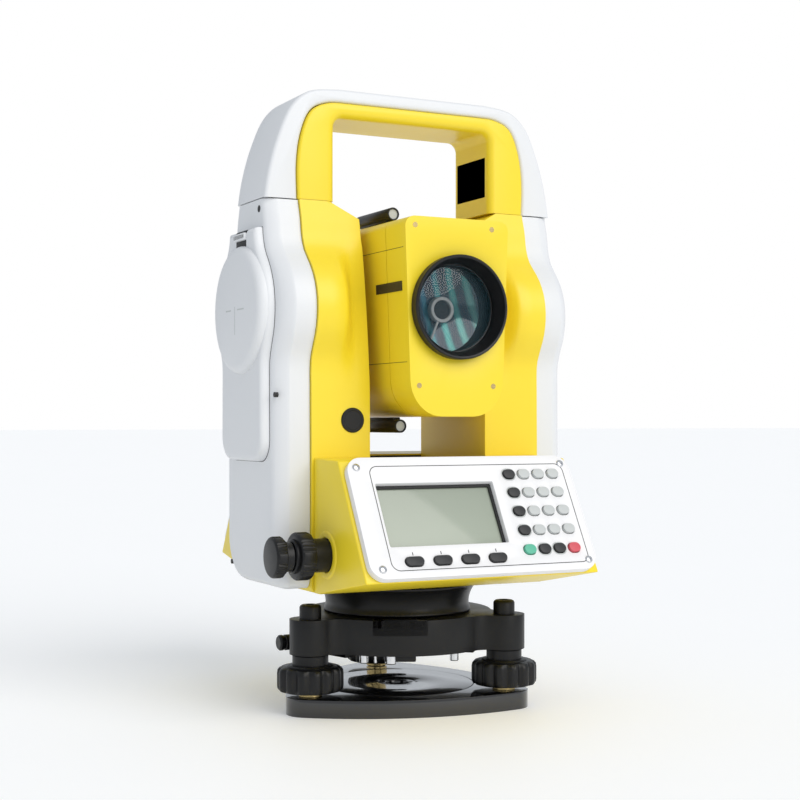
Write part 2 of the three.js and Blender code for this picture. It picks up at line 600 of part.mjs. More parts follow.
const softKeys = SOFT_KEYS.x.map((x, k) => ({
  name: `soft_key_f${k + 1}`, at: [x, SOFT_KEYS.v], size: SOFT_KEYS.size, finish: 'rubber' }));
const gridKeys = GRID_KEYS.v.flatMap((v, row) => GRID_KEYS.x.map((x, column) => {
  const lastRow = row === GRID_KEYS.v.length - 1;
  const finish = lastRow ? ['green', 'rubber', 'rubber', 'red'][column] : column === 0 ? 'rubber' : 'pale';
  return { name: `key_${row + 1}_${column + 1}`, at: [x, v], size: GRID_KEYS.size, finish };
}));
const keys = [...softKeys, ...gridKeys];

function keypadPanel() {
  const { halfWidth, halfHeight, cornerR, thickness, bevel } = PANEL;
  const plate = extrude(roundedRectangle([-halfWidth, halfWidth], [-halfHeight, halfHeight], cornerR),
    -thickness - bevel, 0, { bevel, bevelSegments: 2 });
  const backing = box([-90, 90], [-60, 60], [-thickness - 10, -thickness]);
  const window = box(LCD_WINDOW.x, LCD_WINDOW.v, [-thickness - 2, 2]);
  const holes = keys.map((key) => pill(key.size, -thickness - 2, 2, key.at, KEY.clearance));
  return without(plate, backing, window, ...holes);
}

function lcdModule() {
  const [x, v] = [LCD_WINDOW.x, LCD_WINDOW.v].map(([low, high]) => [low - LCD_MARGIN, high + LCD_MARGIN]);
  const face = -PANEL.thickness - GAP;
  return box(x, v, [face - LCD_THICKNESS, face]);
}

/** One moulded sheet with every key of a keypad standing on it. */
function keyMat() {
  const beside = LCD_WINDOW.x[1] + LCD_MARGIN + 1;
  const below = LCD_WINDOW.v[0] - LCD_MARGIN - 1;
  const sheet = extrude(polygon([
    [-51, -31], [63, -31], [63, 28.5], [beside, 28.5], [beside, below], [-51, below],
  ]), ...MAT_SHEET);
  return joined(sheet, ...keys.map((key) => pill(key.size, MAT_SHEET[0], KEY.proud, key.at)));
}

function keypadGroup(turn) {
  const facing = new THREE.Group();
  facing.rotation.z = turn;
  const plane = new THREE.Group();
  plane.position.set(0, PANEL_CENTRE.y, PANEL_CENTRE.z);
  plane.rotation.x = 90 * DEG - PANEL_LEAN;
  facing.add(plane);
  group.add(facing);
  return { facing, plane };
}

const front = keypadGroup(0);
part('front_housing', keypadHousing(true), 'yellow', front.facing);
part('front_panel', keypadPanel(), 'panel', front.plane);
part('front_lcd', lcdModule(), 'lcd', front.plane);
for (const { name, size, at, finish } of keys) {
  part(name, pill(size, -KEY.back, KEY.proud, at), finish, front.plane);
}

const rear = keypadGroup(Math.PI);
part('rear_housing', keypadHousing(false), 'yellow', rear.facing);
part('rear_panel', keypadPanel(), 'panel', rear.plane);
part('rear_lcd', lcdModule(), 'lcd', rear.plane);
part('rear_keymat', keyMat(), 'rubber', rear.plane);

// ---- clamp and tangent knobs --------------------------------------------------------------------

/** A clamp knob with a barrel into the casing, and a tangent knob whose shaft runs through it. */
function coaxialDrive(prefix, side, { y, z, lengths }, face) {
  const at = [0, y, z];
  const [barrel, clampEnd, neckEnd, tangentEnd] = lengths.map((length) => side * (face + length));
  const inside = side * (face - 4);
  const turned = (profile) => revolve(profile, { axis: 'x', at, segments: 22 });
  part(`${prefix}_clamp_knob`, turned([
    [DRIVE.shaftR + GAP, inside], [DRIVE.barrelR, inside], [DRIVE.barrelR, barrel],
    [DRIVE.clampR - 1, barrel], [DRIVE.clampR, barrel + side], [DRIVE.clampR, clampEnd - side],
    [DRIVE.clampR - 1, clampEnd],
    [DRIVE.shaftR + GAP, clampEnd], [DRIVE.shaftR + GAP, inside],
  ]), 'black');
  part(`${prefix}_tangent_knob`, turned([
    [0, inside], [DRIVE.shaftR, inside], [DRIVE.shaftR, clampEnd + side * GAP],
    [DRIVE.tangentR - 4, clampEnd + side * GAP],
    [DRIVE.tangentR - 4, neckEnd], [DRIVE.tangentR, neckEnd], [DRIVE.tangentR, tangentEnd - side],
    [DRIVE.tangentR - 1, tangentEnd], [0, tangentEnd],
  ]), 'black');
}

coaxialDrive('horizontal', -1, HORIZONTAL_DRIVE, HOUSING_HALF_WIDTH);
coaxialDrive('vertical', 1, VERTICAL_DRIVE, COVER_FACE);

// ---- telescope ----------------------------------------------------------------------------------

const onSightLine = { axis: 'y', at: [0, 0, TRUNNION_Z] };

function telescopeBody() {
  const { halfWidth, z, y, bellyR, topR } = TELESCOPE;
  const outline = roundedRectangle([-halfWidth, halfWidth], z, bellyR, topR);
  const casing = extrude(outline, ...y, { axis: 'y', bevel: 2 });
  const trunnions = cylinder(TRUNNION_R, -SLOT_HALF_WIDTH - 8, SLOT_HALF_WIDTH + 8, {
    axis: 'x', at: [0, 0, TRUNNION_Z] });
  const barrel = cylinder(EYEPIECE.barrelR, y[1] - 6, y[1] + 8, onSightLine);
  const neck = cylinder(EYEPIECE.neckR, y[1], 77.3, onSightLine);
  const tube = cylinder(EYEPIECE.tubeR, 70, 88, { ...onSightLine, segments: 24 });
  const bore = cylinder(OBJECTIVE.sleeveR + GAP, y[0] - 5, y[0] + 16, { ...onSightLine, segments: 32 });
  return without(joined(casing, trunnions, barrel, neck, tube), bore);
}

function objectiveRing() {
  const { ringR, sleeveR, boreR, front: tip } = OBJECTIVE;
  const face = TELESCOPE.y[0];
  return revolve([
    [boreR + 1.5, tip], [ringR - 1, tip], [ringR, tip + 1], [ringR, face - GAP], [sleeveR, face - GAP],
    [sleeveR, face + 14], [boreR, face + 14], [boreR, tip + 2], [boreR + 1.5, tip],
  ], { ...onSightLine, segments: 32 });
}

function sight(z, footLimits, front) {
  const tube = cylinder(SIGHT.r, front, front + SIGHT.length, {
    axis: 'y', at: [SIGHT.x, 0, z], segments: 16 });
  const foot = box([SIGHT.x - 1.6, SIGHT.x + 1.6], [front + 6, front + SIGHT.length - 6], footLimits);
  return joined(tube, foot);
}

part('telescope_body', telescopeBody(), 'yellow');
part('objective_ring', objectiveRing(), 'black');
part('objective_lens', revolve([
  [0, -72.2], [14, -71.4], [OBJECTIVE.boreR - GAP, -69.2], [OBJECTIVE.boreR - GAP, -65], [0, -65],
], { ...onSightLine, segments: 32 }), 'lens');
part('focus_ring', ring(EYEPIECE.neckR + GAP, EYEPIECE.focusR, TELESCOPE.y[1] + 8.3, 77.3, {
  ...onSightLine, segments: 36 }), 'black');
part('eyepiece_ring', revolve([
  [EYEPIECE.tubeR + GAP, 77.6], [EYEPIECE.ringR, 77.6], [EYEPIECE.ringR, 90], [EYEPIECE.ringR - 2, 92],
  [8, 92], [8, 88.4], [EYEPIECE.tubeR + GAP, 88.4], [EYEPIECE.tubeR + GAP, 77.6],
], { ...onSightLine, segments: 28 }), 'black');
part('upper_sight', sight(284.5, [TELESCOPE.z[1] + GAP, 283], -39), 'black');
part('lower_sight', sight(163.7, [165, 170.8], -48), 'black');

export default group;
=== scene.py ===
"""The looks of a surveying total station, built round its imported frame.

Lengths are in millimetres until a piece is finished, and each piece rides on the frame body it moves with.
The vertical axis is x = y = 0, the objective and the main keypad face -Y, and the battery is on the -X side.
"""

from __future__ import annotations

import logging
import math
from dataclasses import dataclass
from enum import Enum
from typing import Callable, Optional, Sequence

import bmesh
import bpy
from mathutils import Matrix, Vector


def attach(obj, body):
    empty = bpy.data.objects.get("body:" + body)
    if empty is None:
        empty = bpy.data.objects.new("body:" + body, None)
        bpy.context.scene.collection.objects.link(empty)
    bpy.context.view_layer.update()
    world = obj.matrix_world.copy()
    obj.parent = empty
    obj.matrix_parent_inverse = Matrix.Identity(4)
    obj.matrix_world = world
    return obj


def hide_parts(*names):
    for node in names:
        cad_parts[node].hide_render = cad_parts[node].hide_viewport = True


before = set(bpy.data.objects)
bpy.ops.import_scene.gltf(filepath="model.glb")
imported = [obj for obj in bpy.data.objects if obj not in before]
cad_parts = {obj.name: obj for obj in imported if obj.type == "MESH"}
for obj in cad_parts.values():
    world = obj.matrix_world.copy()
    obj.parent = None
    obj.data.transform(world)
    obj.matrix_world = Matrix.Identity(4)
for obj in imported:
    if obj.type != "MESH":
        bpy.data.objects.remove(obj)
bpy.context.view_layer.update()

LOG = logging.getLogger("total_station")
MM = 0.001
Point = Sequence[float]
Test = Callable[[Vector], bool]


# ---- shading ------------------------------------------------------------------------------------


class Value:
    """A shader socket that takes part in Python expressions on numbers."""

    def __init__(self, graph: "Graph", socket: bpy.types.NodeSocket) -> None:
        """Wraps one output socket of a graph."""
        self.graph = graph
        self.socket = socket

    def _math(self, operation: str, first: "Value | float", second: "Value | float") -> "Value":
        """Adds one Math node and returns its result."""
        return self.graph.node("ShaderNodeMath", {"operation": operation}, {0: first, 1: second})

    def __add__(self, other: "Value | float") -> "Value":
        """self + other."""
        return self._math("ADD", self, other)

    def __mul__(self, other: "Value | float") -> "Value":
        """self * other."""
        return self._math("MULTIPLY", self, other)


class Graph:
    """The nodes of one material, with a Principled shader at the end."""

    def __init__(self, name: str) -> None:
        """Starts a material with an empty tree but for its shader and output.

        Args:
            name: the material's name.
        """
        self.material = bpy.data.materials.new(name)
        self.material.use_nodes = True
        self.tree = self.material.node_tree
        self.shader = self.tree.nodes["Principled BSDF"]

    def node(self, kind: str, settings: dict, inputs: dict, output: int | str = 0) -> Value:
        """Adds a node.

        Args:
            kind: the node's type name.
            settings: its own properties; "stops" holds a colour ramp's (position, colour) pairs.
            inputs: values or links of its sockets, by name or place.
            output: which output to return.

        Returns:
            The chosen output.
        """
        made = self.tree.nodes.new(kind)
        for key, setting in settings.items():
            if key == "stops":
                self._stops(made.color_ramp, setting)
            else:
                setattr(made, key, setting)
        for key, value in inputs.items():
            self.feed(made.inputs[key], value)
        return Value(self, made.outputs[output])

    @staticmethod
    def _stops(ramp: bpy.types.ColorRamp, stops: Sequence[tuple[float, Point]]) -> None:
        """Sets a ramp's stops.

        Args:
            ramp: the node's colour ramp.
            stops: pairs of place and colour.
        """
        while len(ramp.elements) < len(stops):
            ramp.elements.new(0.5)
        for element, (position, colour) in zip(ramp.elements, stops):
            element.position = position
            element.color = (*colour, 1.0)

    def feed(self, socket: bpy.types.NodeSocket, value: "Value | float | Point") -> None:
        """Links a value to a socket, or sets the socket's own constant.

        Args:
            socket: the socket to feed.
            value: a value from another node, or a constant.
        """
        if isinstance(value, Value):
            self.tree.links.new(value.socket, socket)
        else:
            socket.default_value = value

    def set(self, **sockets: "Value | float | Point") -> None:
        """Feeds the shader's sockets, named with underscores for spaces."""
        for name, value in sockets.items():
            self.feed(self.shader.inputs[name.replace("_", " ")], value)

    def place(self, scale: Point = (1, 1, 1), location: Point = (0, 0, 0),
              rotation: Point = (0, 0, 0)) -> Value:
        """Object coordinates after a Mapping node."""
        raw = self.node("ShaderNodeTexCoord", {}, {}, "Object")
        return self.node("ShaderNodeMapping", {}, {"Vector": raw, "Location": location, "Rotation": rotation,
                                                   "Scale": scale})

    def noise(self, scale: float, detail: float = 3.0, where: Optional[Value] = None) -> Value:
        """Noise between 0 and 1 on object coordinates, scale in cells per metre."""
        return self.node("ShaderNodeTexNoise", {}, {"Vector": where or self.place(), "Scale": scale,
                                                    "Detail": detail, "Roughness": 0.55}, "Fac")

    def mix(self, amount: "Value | float", first: "Value | Point", second: "Value | Point") -> Value:
        """A colour between two colours."""
        def colour(value: "Value | Point") -> "Value | Point":
            """A colour with its fourth number, unless a node supplies it."""
            return value if isinstance(value, Value) else (*value, 1.0)
        return self.node("ShaderNodeMix", {"data_type": "RGBA"},
                         {0: amount, 6: colour(first), 7: colour(second)}, 2)

    def bump(self, height: Value, strength: float, distance: float) -> None:
        """Feeds the shader's normal with a height in millimetres."""
        self.set(Normal=self.node("ShaderNodeBump", {}, {"Height": height, "Strength": strength,
                                                         "Distance": distance * MM}))


class Slot(Enum):
    """The record's material slots."""

    YELLOW = "yellow_casing"
    WHITE = "white_casing"
    PANEL = "panel_plastic"
    BLACK_METAL = "black_metal"
    GLOSS_BLACK = "gloss_black"
    BLACK_PLASTIC = "black_plastic"
    BRIGHT = "bright_metal"
    BRASS = "brass_metal"
    LCD = "lcd_glass"
    LENS = "coated_glass"
    KEY_DARK = "key_rubber"
    KEY_PALE = "key_pale"
    KEY_GREEN = "key_green"
    KEY_RED = "key_red"
    # sealant for the real seams and joints, and also painted shade at the back of the handle windows and
    # round the display
    SEAL_AND_SHADE = "sealant"
    LABEL = "label"


@dataclass(frozen=True)
class Moulded:
    """A satin moulded or painted surface with a fine grain and faint unevenness."""

    colour: Point
    roughness: float
    grain: float = 0.12
    grain_scale: float = 2600.0
    shift: float = 0.06
    coat: float = 0.0
    gloss: float = 0.5

    def build(self, slot: Slot) -> bpy.types.Material:
        """Makes the material for a slot.

        Args:
            slot: the slot whose name the material takes.

        Returns:
            The finished material.
        """
        graph = Graph(slot.value)
        tone = graph.noise(9.0, 4.0)
        fine = graph.noise(240.0, 2.0)
        darker = [c * (1 - self.shift) for c in self.colour]
        lighter = [min(1.0, c * (1 + 0.5 * self.shift)) for c in self.colour]
        graph.set(
            Base_Color=graph.mix(tone * 0.7 + fine * 0.3, darker, lighter),
            Roughness=tone * 0.06 + fine * 0.08 + (self.roughness - 0.07),
            Coat_Weight=self.coat,
            Coat_Roughness=0.05,
            Specular_IOR_Level=self.gloss,
        )
        if self.grain:
            graph.bump(graph.noise(self.grain_scale, 2.0), self.grain, 0.06)
        return graph.material


@dataclass(frozen=True)
class Metal:
    """Turned or plated metal with fine tool marks."""

    colour: Point
    roughness: float
    marks: float = 0.25

    def build(self, slot: Slot) -> bpy.types.Material:
        """Makes the material for a slot.

        Args:
            slot: the slot whose name the material takes.

        Returns:
            The finished material.
        """
        graph = Graph(slot.value)
        lines = graph.noise(300.0, 3.0, graph.place(scale=(1.0, 1.0, 18.0)))
        graph.set(
            Base_Color=graph.mix(lines, [c * 0.88 for c in self.colour], self.colour),
            Metallic=1.0,
            Roughness=lines * 0.12 + (self.roughness - 0.06),
        )
        graph.bump(lines, self.marks, 0.02)
        return graph.material


@dataclass(frozen=True)
class Display:
    """A grey-green liquid crystal display under a clear window."""

    top: Point = (0.26, 0.295, 0.235)
    bottom: Point = (0.33, 0.375, 0.30)

    def build(self, slot: Slot) -> bpy.types.Material:
        """Makes the material for a slot.

        Args:
            slot: the slot whose name the material takes.

        Returns:
            The finished material.
        """
        graph = Graph(slot.value)
        height = graph.node("ShaderNodeSeparateXYZ", {}, {0: graph.place()}, "Z")
        ramp = graph.node("ShaderNodeMapRange", {}, {"Value": height, "From Min": 0.098, "From Max": 0.134})
        cloud = graph.noise(28.0, 2.0)
        cells = graph.noise(5200.0, 0.0)
        shade = graph.mix(ramp * 0.8 + cloud * 0.2, self.bottom, self.top)
        graph.set(Base_Color=graph.mix(cells * 0.12, shade, (0.2, 0.24, 0.19)), Roughness=cloud * 0.05 + 0.16,
                  Coat_Weight=0.6, Coat_Roughness=0.03)
        return graph.material


@dataclass(frozen=True)
class CoatedGlass:
    """The coated inner glass of the objective: the coating's teal to blue tint, partly painted reflection,
    with painted reflection streaks.
    """

    def build(self, slot: Slot) -> bpy.types.Material:
        """Makes the material for a slot.

        Args:
            slot: the slot whose name the material takes.

        Returns:
            The finished material.
        """
        graph = Graph(slot.value)
        # painted reflection: the bands are bright reflection streaks laid into the colour
        bands = graph.node(
            "ShaderNodeTexWave", {"wave_type": "BANDS", "bands_direction": "X", "wave_profile": "SIN"},
            {"Vector": graph.place(rotation=(0, 0.28, 0)), "Scale": 32.0, "Distortion": 1.6, "Detail": 2.0},
            "Fac")
        # the tint runs from dark blue to teal across the glass: part coating colour, part painted reflection
        across = graph.node("ShaderNodeSeparateXYZ", {}, {0: graph.place()}, "X")
        sweep = graph.node("ShaderNodeMapRange", {}, {"Value": across, "From Min": -0.02, "From Max": 0.02})
        hue = graph.node("ShaderNodeValToRGB", {"stops": [
            (0.0, (0.010, 0.050, 0.130)), (0.35, (0.030, 0.210, 0.330)), (0.62, (0.040, 0.360, 0.330)),
            (1.0, (0.110, 0.330, 0.290))]}, {0: sweep * 0.8 + bands * 0.2})
        graph.set(Base_Color=graph.mix(bands * bands * 0.8, (0.004, 0.012, 0.03), hue), Metallic=0.55,
                  Roughness=bands * 0.03 + 0.05, Coat_Weight=1.0, Coat_Roughness=0.02)
        return graph.material


@dataclass(frozen=True)
class ClearGlass:
    """A thin clear element that mostly lets what is behind it through."""

    tint: Point = (0.01, 0.05, 0.07)
    alpha: float = 0.16

    def build(self, name: str) -> bpy.types.Material:
        """Makes the material under its own name.

        Args:
            name: the material's name.

        Returns:
            The finished material.
        """
        graph = Graph(name)
        smear = graph.noise(60.0, 2.0)
        graph.set(Base_Color=self.tint + (1.0,), Roughness=smear * 0.03 + 0.02, Alpha=self.alpha,
                  Coat_Weight=1.0, Coat_Roughness=0.02)
        return graph.material


class Paintbox:
    """Every finish, each made into a material once."""

    FINISHES = {
        Slot.YELLOW: Moulded((0.86, 0.665, 0.026), 0.36, grain=0.10, shift=0.04),
        Slot.WHITE: Moulded((0.72, 0.735, 0.755), 0.40, grain=0.10, shift=0.03),
        Slot.PANEL: Moulded((0.80, 0.80, 0.81), 0.34, grain=0.05, shift=0.02),
        Slot.BLACK_METAL: Moulded((0.007, 0.0072, 0.0078), 0.36, grain=0.2, grain_scale=1500.0, shift=0.2,
                                  gloss=0.3),
        Slot.GLOSS_BLACK: Moulded((0.006, 0.006, 0.0065), 0.16, grain=0.0, shift=0.1, coat=1.0, gloss=0.4),
        Slot.BLACK_PLASTIC: Moulded((0.007, 0.0072, 0.0078), 0.40, grain=0.15, shift=0.15, gloss=0.35),
        Slot.BRIGHT: Metal((0.72, 0.73, 0.75), 0.22),
        Slot.BRASS: Metal((0.66, 0.50, 0.22), 0.26),
        Slot.LCD: Display(),
        Slot.LENS: CoatedGlass(),
        Slot.KEY_DARK: Moulded((0.018, 0.019, 0.021), 0.5, grain=0.1, shift=0.1),
        Slot.KEY_PALE: Moulded((0.52, 0.545, 0.54), 0.50, grain=0.1),
        Slot.KEY_GREEN: Moulded((0.10, 0.46, 0.31), 0.48, grain=0.1),
        Slot.KEY_RED: Moulded((0.62, 0.085, 0.11), 0.48, grain=0.1),
        Slot.SEAL_AND_SHADE: Moulded((0.012, 0.012, 0.013), 0.6, grain=0.1),
        Slot.LABEL: Moulded((0.018, 0.014, 0.012), 0.5, grain=0.05),
    }

    def __init__(self) -> None:
        """Starts with nothing made."""
        self.made: dict[Slot, bpy.types.Material] = {}
        self.glass = ClearGlass().build("front_glass")

    def material(self, slot: Slot) -> bpy.types.Material:
        """The material of a slot."""
        if slot not in self.made:
            self.made[slot] = self.FINISHES[slot].build(slot)
        return self.made[slot]


PAINT = Paintbox()


# ---- modelling ----------------------------------------------------------------------------------


class Axis(Enum):
    """The axis that a shape is drawn along, with the turn from its own z axis to it."""

    X = Matrix(((0, 0, 1, 0), (1, 0, 0, 0), (0, 1, 0, 0), (0, 0, 0, 1)))
    Y = Matrix(((1, 0, 0, 0), (0, 0, -1, 0), (0, 1, 0, 0), (0, 0, 0, 1)))
    Z = Matrix.Identity(4)


def arc(centre: Point, radius: float, start: float, end: float, steps: int = 8) -> list[tuple[float, float]]:
    """Points of an arc from one angle to another, both in degrees."""
    angles = [math.radians(start + (end - start) * k / steps) for k in range(steps + 1)]
    return [(centre[0] + radius * math.cos(a), centre[1] + radius * math.sin(a)) for a in angles]


def circle(centre: Point, radius: float, steps: int = 48) -> list[tuple[float, float]]:
    """Points of a full circle, without the repeated last one."""
    return arc(centre, radius, 0, 360, steps)[:-1]


def rounded(low: Point, high: Point, radii: Point, steps: int = 6) -> list[tuple[float, float]]:
    """A rectangle's outline with its lower and upper corner radii.

    Args:
        low: the lower left corner.
        high: the upper right corner.
        radii: the radii of the lower and upper corners.
        steps: how many steps each corner has.

    Returns:
        The points, anticlockwise.
    """
    below, above = radii
    return (arc((high[0] - below, low[1] + below), below, -90, 0, steps)
            + arc((high[0] - above, high[1] - above), above, 0, 90, steps)
            + arc((low[0] + above, high[1] - above), above, 90, 180, steps)
            + arc((low[0] + below, low[1] + below), below, 180, 270, steps))


def fluted(radius: float, depth: float, count: int, steps: int = 8) -> list[tuple[float, float]]:
    """A round outline with hollow flutes between its lobes.

    Args:
        radius: the outer radius.
        depth: how deep the hollows are.
        count: how many hollows there are.
        steps: how many points each hollow has.

    Returns:
        The points, anticlockwise.
    """
    points = []
    for k in range(count * steps):
        turn = 2 * math.pi * k / (count * steps)
        reach = radius - depth * (0.5 - 0.5 * math.cos(count * turn)) ** 2
        points.append((reach * math.cos(turn), reach * math.sin(turn)))
    return points


def smooth(points: Sequence[Point], steps: int = 8) -> list[tuple[float, float]]:
    """A Catmull-Rom curve through the points.

    Args:
        points: the places the curve passes through.
        steps: how many steps lie between two of them.

    Returns:
        The points of the curve.
    """
    ends = [points[0], *points, points[-1]]
    out = []
    for a, b, c, d in zip(ends, ends[1:], ends[2:], ends[3:]):
        for k in range(steps):
            t = k / steps
            out.append(tuple(
                0.5 * (2 * q + (r - p) * t + (2 * p - 5 * q + 4 * r - s) * t * t
                       + (3 * q - p - 3 * r + s) * t ** 3)
                for p, q, r, s in zip(a, b, c, d)))
    return out + [tuple(points[-1])]


class Form:
    """A bmesh under construction, in millimetres, that becomes one finished piece."""

    def __init__(self) -> None:
        """Starts empty."""
        self.bm = bmesh.new()

    @classmethod
    def prism(cls, outline: Sequence[Point], low: float, high: float, axis: Axis = Axis.Z,
              holes: Sequence[Sequence[Point]] = ()) -> "Form":
        """An outline extruded along an axis.

        Args:
            outline: (u, v) points: (x, y) along Z, (y, z) along X and (x, z) along Y.
            low: where it starts along the axis.
            high: where it ends.
            axis: the axis it runs along.
            holes: outlines cut right through.

        Returns:
            The closed form.
        """
        form = cls()
        bm = form.bm
        if axis is Axis.Y:
            low, high = -high, -low
        loops = []
        for loop in (outline, *holes):
            verts = [bm.verts.new((u, v, low)) for u, v in loop]
            loops.append([bm.edges.new(pair) for pair in zip(verts, verts[1:] + verts[:1])])
        if holes:
            edges = [edge for loop in loops for edge in loop]
            bmesh.ops.triangle_fill(bm, use_beauty=True, use_dissolve=False, edges=edges, normal=(0, 0, -1))
        else:
            bmesh.ops.contextual_create(bm, geom=loops[0])
        grown = bmesh.ops.extrude_face_region(bm, geom=bm.faces[:], use_keep_orig=True)
        moved = [v for v in grown["geom"] if isinstance(v, bmesh.types.BMVert)]
        bmesh.ops.translate(bm, verts=moved, vec=(0, 0, high - low))
        bmesh.ops.recalc_face_normals(bm, faces=bm.faces[:])
        return form.transform(axis.value)

    @classmethod
    def turned(cls, profile: Sequence[Point], axis: Axis = Axis.Z, at: Point = (0, 0, 0),
               steps: int = 64) -> "Form":
        """A profile of (radius, height) points spun about an axis through a point.

        Args:
            profile: pairs of radius and place along the axis.
            axis: the axis to spin about.
            at: where the axis passes.
            steps: how many steps make a full turn.

        Returns:
            The form.
        """
        form = cls()
        bm = form.bm
        verts = [bm.verts.new((radius, 0, height)) for radius, height in profile]
        edges = [bm.edges.new(pair) for pair in zip(verts, verts[1:])]
        if profile[0][0] > 0 and profile[-1][0] > 0:
            edges.append(bm.edges.new((verts[-1], verts[0])))
        bmesh.ops.spin(bm, geom=verts + edges, cent=(0, 0, 0), axis=(0, 0, 1), angle=2 * math.pi, steps=steps,
                       use_merge=True, use_normal_flip=False, use_duplicate=False)
        bmesh.ops.remove_doubles(bm, verts=bm.verts[:], dist=1e-4)
        bmesh.ops.recalc_face_normals(bm, faces=bm.faces[:])
        turn = Matrix.Rotation(math.radians(-90), 4, "X") if axis is Axis.Y else axis.value
        return form.transform(turn).move(at)

    @classmethod
    def block(cls, low: Point, high: Point) -> "Form":
        """A box between two corners.

        Args:
            low: the corner with the lowest values.
            high: the corner with the highest values.

        Returns:
            The form.
        """
        form = cls()
        centre = [(a + b) / 2 for a, b in zip(low, high)]
        size = [b - a for a, b in zip(low, high)]
        place = Matrix.Translation(centre) @ Matrix.Diagonal((*size, 1))
        bmesh.ops.create_cube(form.bm, size=1.0, matrix=place)
        return form

    @classmethod
    def skin(cls, rings: Sequence[Sequence[Point]]) -> "Form":
        """A closed skin over rings of 3-D points that match one another.

        Args:
            rings: the rings in order, each with as many points as the rest.

        Returns:
            The form.
        """
        form = cls()
        bm = form.bm
        loops = []
        for ring in rings:
            verts = [bm.verts.new(point) for point in ring]
            loops.append([bm.edges.new(pair) for pair in zip(verts, verts[1:] + verts[:1])])
        for first, second in zip(loops, loops[1:]):
            bmesh.ops.bridge_loops(bm, edges=first + second)
        for end in (loops[0], loops[-1]):
            bmesh.ops.contextual_create(bm, geom=end)
        bmesh.ops.recalc_face_normals(bm, faces=bm.faces[:])
        return form

    def transform(self, matrix: Matrix) -> "Form":
        """Moves every vertex by a matrix.

        Args:
            matrix: the transform.

        Returns:
            The form itself.
        """
        bmesh.ops.transform(self.bm, matrix=matrix, verts=self.bm.verts[:])
        if matrix.determinant() < 0:
            bmesh.ops.reverse_faces(self.bm, faces=self.bm.faces[:])
        return self

    def move(self, by: Point) -> "Form":
        """Moves everything by a vector."""
        bmesh.ops.translate(self.bm, verts=self.bm.verts[:], vec=by)
        return self

    def slice(self, axis: int, *places: float) -> "Form":
        """Cuts edges into the surface where it crosses planes square to an axis.

        Args:
            axis: 0, 1 or 2 for X, Y or Z.
            places: where the planes cross that axis.

        Returns:
            The form itself.
        """
        normal = [0.0, 0.0, 0.0]
        normal[axis] = 1.0
        for place in places:
            point = [place * n for n in normal]
            geometry = self.bm.verts[:] + self.bm.edges[:] + self.bm.faces[:]
            bmesh.ops.bisect_plane(self.bm, geom=geometry, dist=1e-5, plane_co=point, plane_no=normal)
        return self

    def shape(self, rule: Callable[[Vector], Point]) -> "Form":
        """Moves each vertex to where a rule puts it."""
        for vert in self.bm.verts:
            vert.co = rule(vert.co.copy())
        return self

    def sink(self, where: Test, by: Point) -> "Form":
        """Pushes the faces whose centres pass a test in, with walls round them.

        Args:
            where: picks faces by their centres.
            by: how far and which way they move.

        Returns:
            The form itself.
        """
        faces = [face for face in self.bm.faces if where(face.calc_center_median())]
        grown = bmesh.ops.extrude_face_region(self.bm, geom=faces)
        moved = [v for v in grown["geom"] if isinstance(v, bmesh.types.BMVert)]
        bmesh.ops.translate(self.bm, verts=moved, vec=by)
        return self

    def bevel(self, width: float, segments: int = 3, where: Optional[Test] = None,
              angle: float = 32) -> "Form":
        """Rounds the edges sharper than an angle whose middles pass a test.

        Args:
            width: the bevel's width.
            segments: how many steps it has.
            where: picks edges by their middles, every sharp edge if left out.
            angle: the least angle in degrees between an edge's two faces.

        Returns:
            The form itself.
        """
        sharp = []
        for edge in self.bm.edges:
            if len(edge.link_faces) != 2 or edge.calc_face_angle(0.0) < math.radians(angle):
                continue
            if where is None or where((edge.verts[0].co + edge.verts[1].co) / 2):
                sharp.append(edge)
        bmesh.ops.bevel(self.bm, geom=sharp, offset=width, offset_type="OFFSET", segments=segments,
                        profile=0.5,
                        affect="EDGES", material=-1, clamp_overlap=True)
        return self

    def join(self, *others: "Form") -> "Form":
        """Takes other forms into this one as further shells.

        Args:
            others: the forms to take in, which are used up.

        Returns:
            The form itself.
        """
        for other in others:
            mesh = bpy.data.meshes.new("joined")
            other.bm.to_mesh(mesh)
            self.bm.from_mesh(mesh)
            bpy.data.meshes.remove(mesh)
            other.bm.free()
        return self

    def finish(self, name: str, slot: Slot, body: str, *nodes: str, place: Optional[Matrix] = None,
               sharp: float = 38, material: Optional[bpy.types.Material] = None) -> bpy.types.Object:
        """Makes the piece, dresses it and hangs it on the frame.

        Args:
            name: the piece's name.
            slot: the material slot it takes its finish from.
            body: the frame body it rides on.
            nodes: the frame nodes it stands for.
            place: a last transform, in millimetres.
            sharp: edges over this angle in degrees stay sharp.
            material: another material than the slot's own.

        Returns:
            The finished object.
        """
        if place is not None:
            self.transform(place)
        bmesh.ops.scale(self.bm, vec=(MM, MM, MM), verts=self.bm.verts[:])
        for face in self.bm.faces:
            face.smooth = True
        for edge in self.bm.edges:
            edge.smooth = not (len(edge.link_faces) == 2 and edge.calc_face_angle(0.0) > math.radians(sharp))
        mesh = bpy.data.meshes.new(name)
        self.bm.to_mesh(mesh)
        self.bm.free()
        mesh.materials.append(material or PAINT.material(slot))
        piece = bpy.data.objects.new(name, mesh)
        bpy.context.scene.collection.objects.link(piece)
        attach(piece, body)
        if nodes:
            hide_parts(*nodes)
        LOG.info("%s: %d faces on %s", name, len(mesh.polygons), body)
        return piece


# ---- tribrach -----------------------------------------------------------------------------------


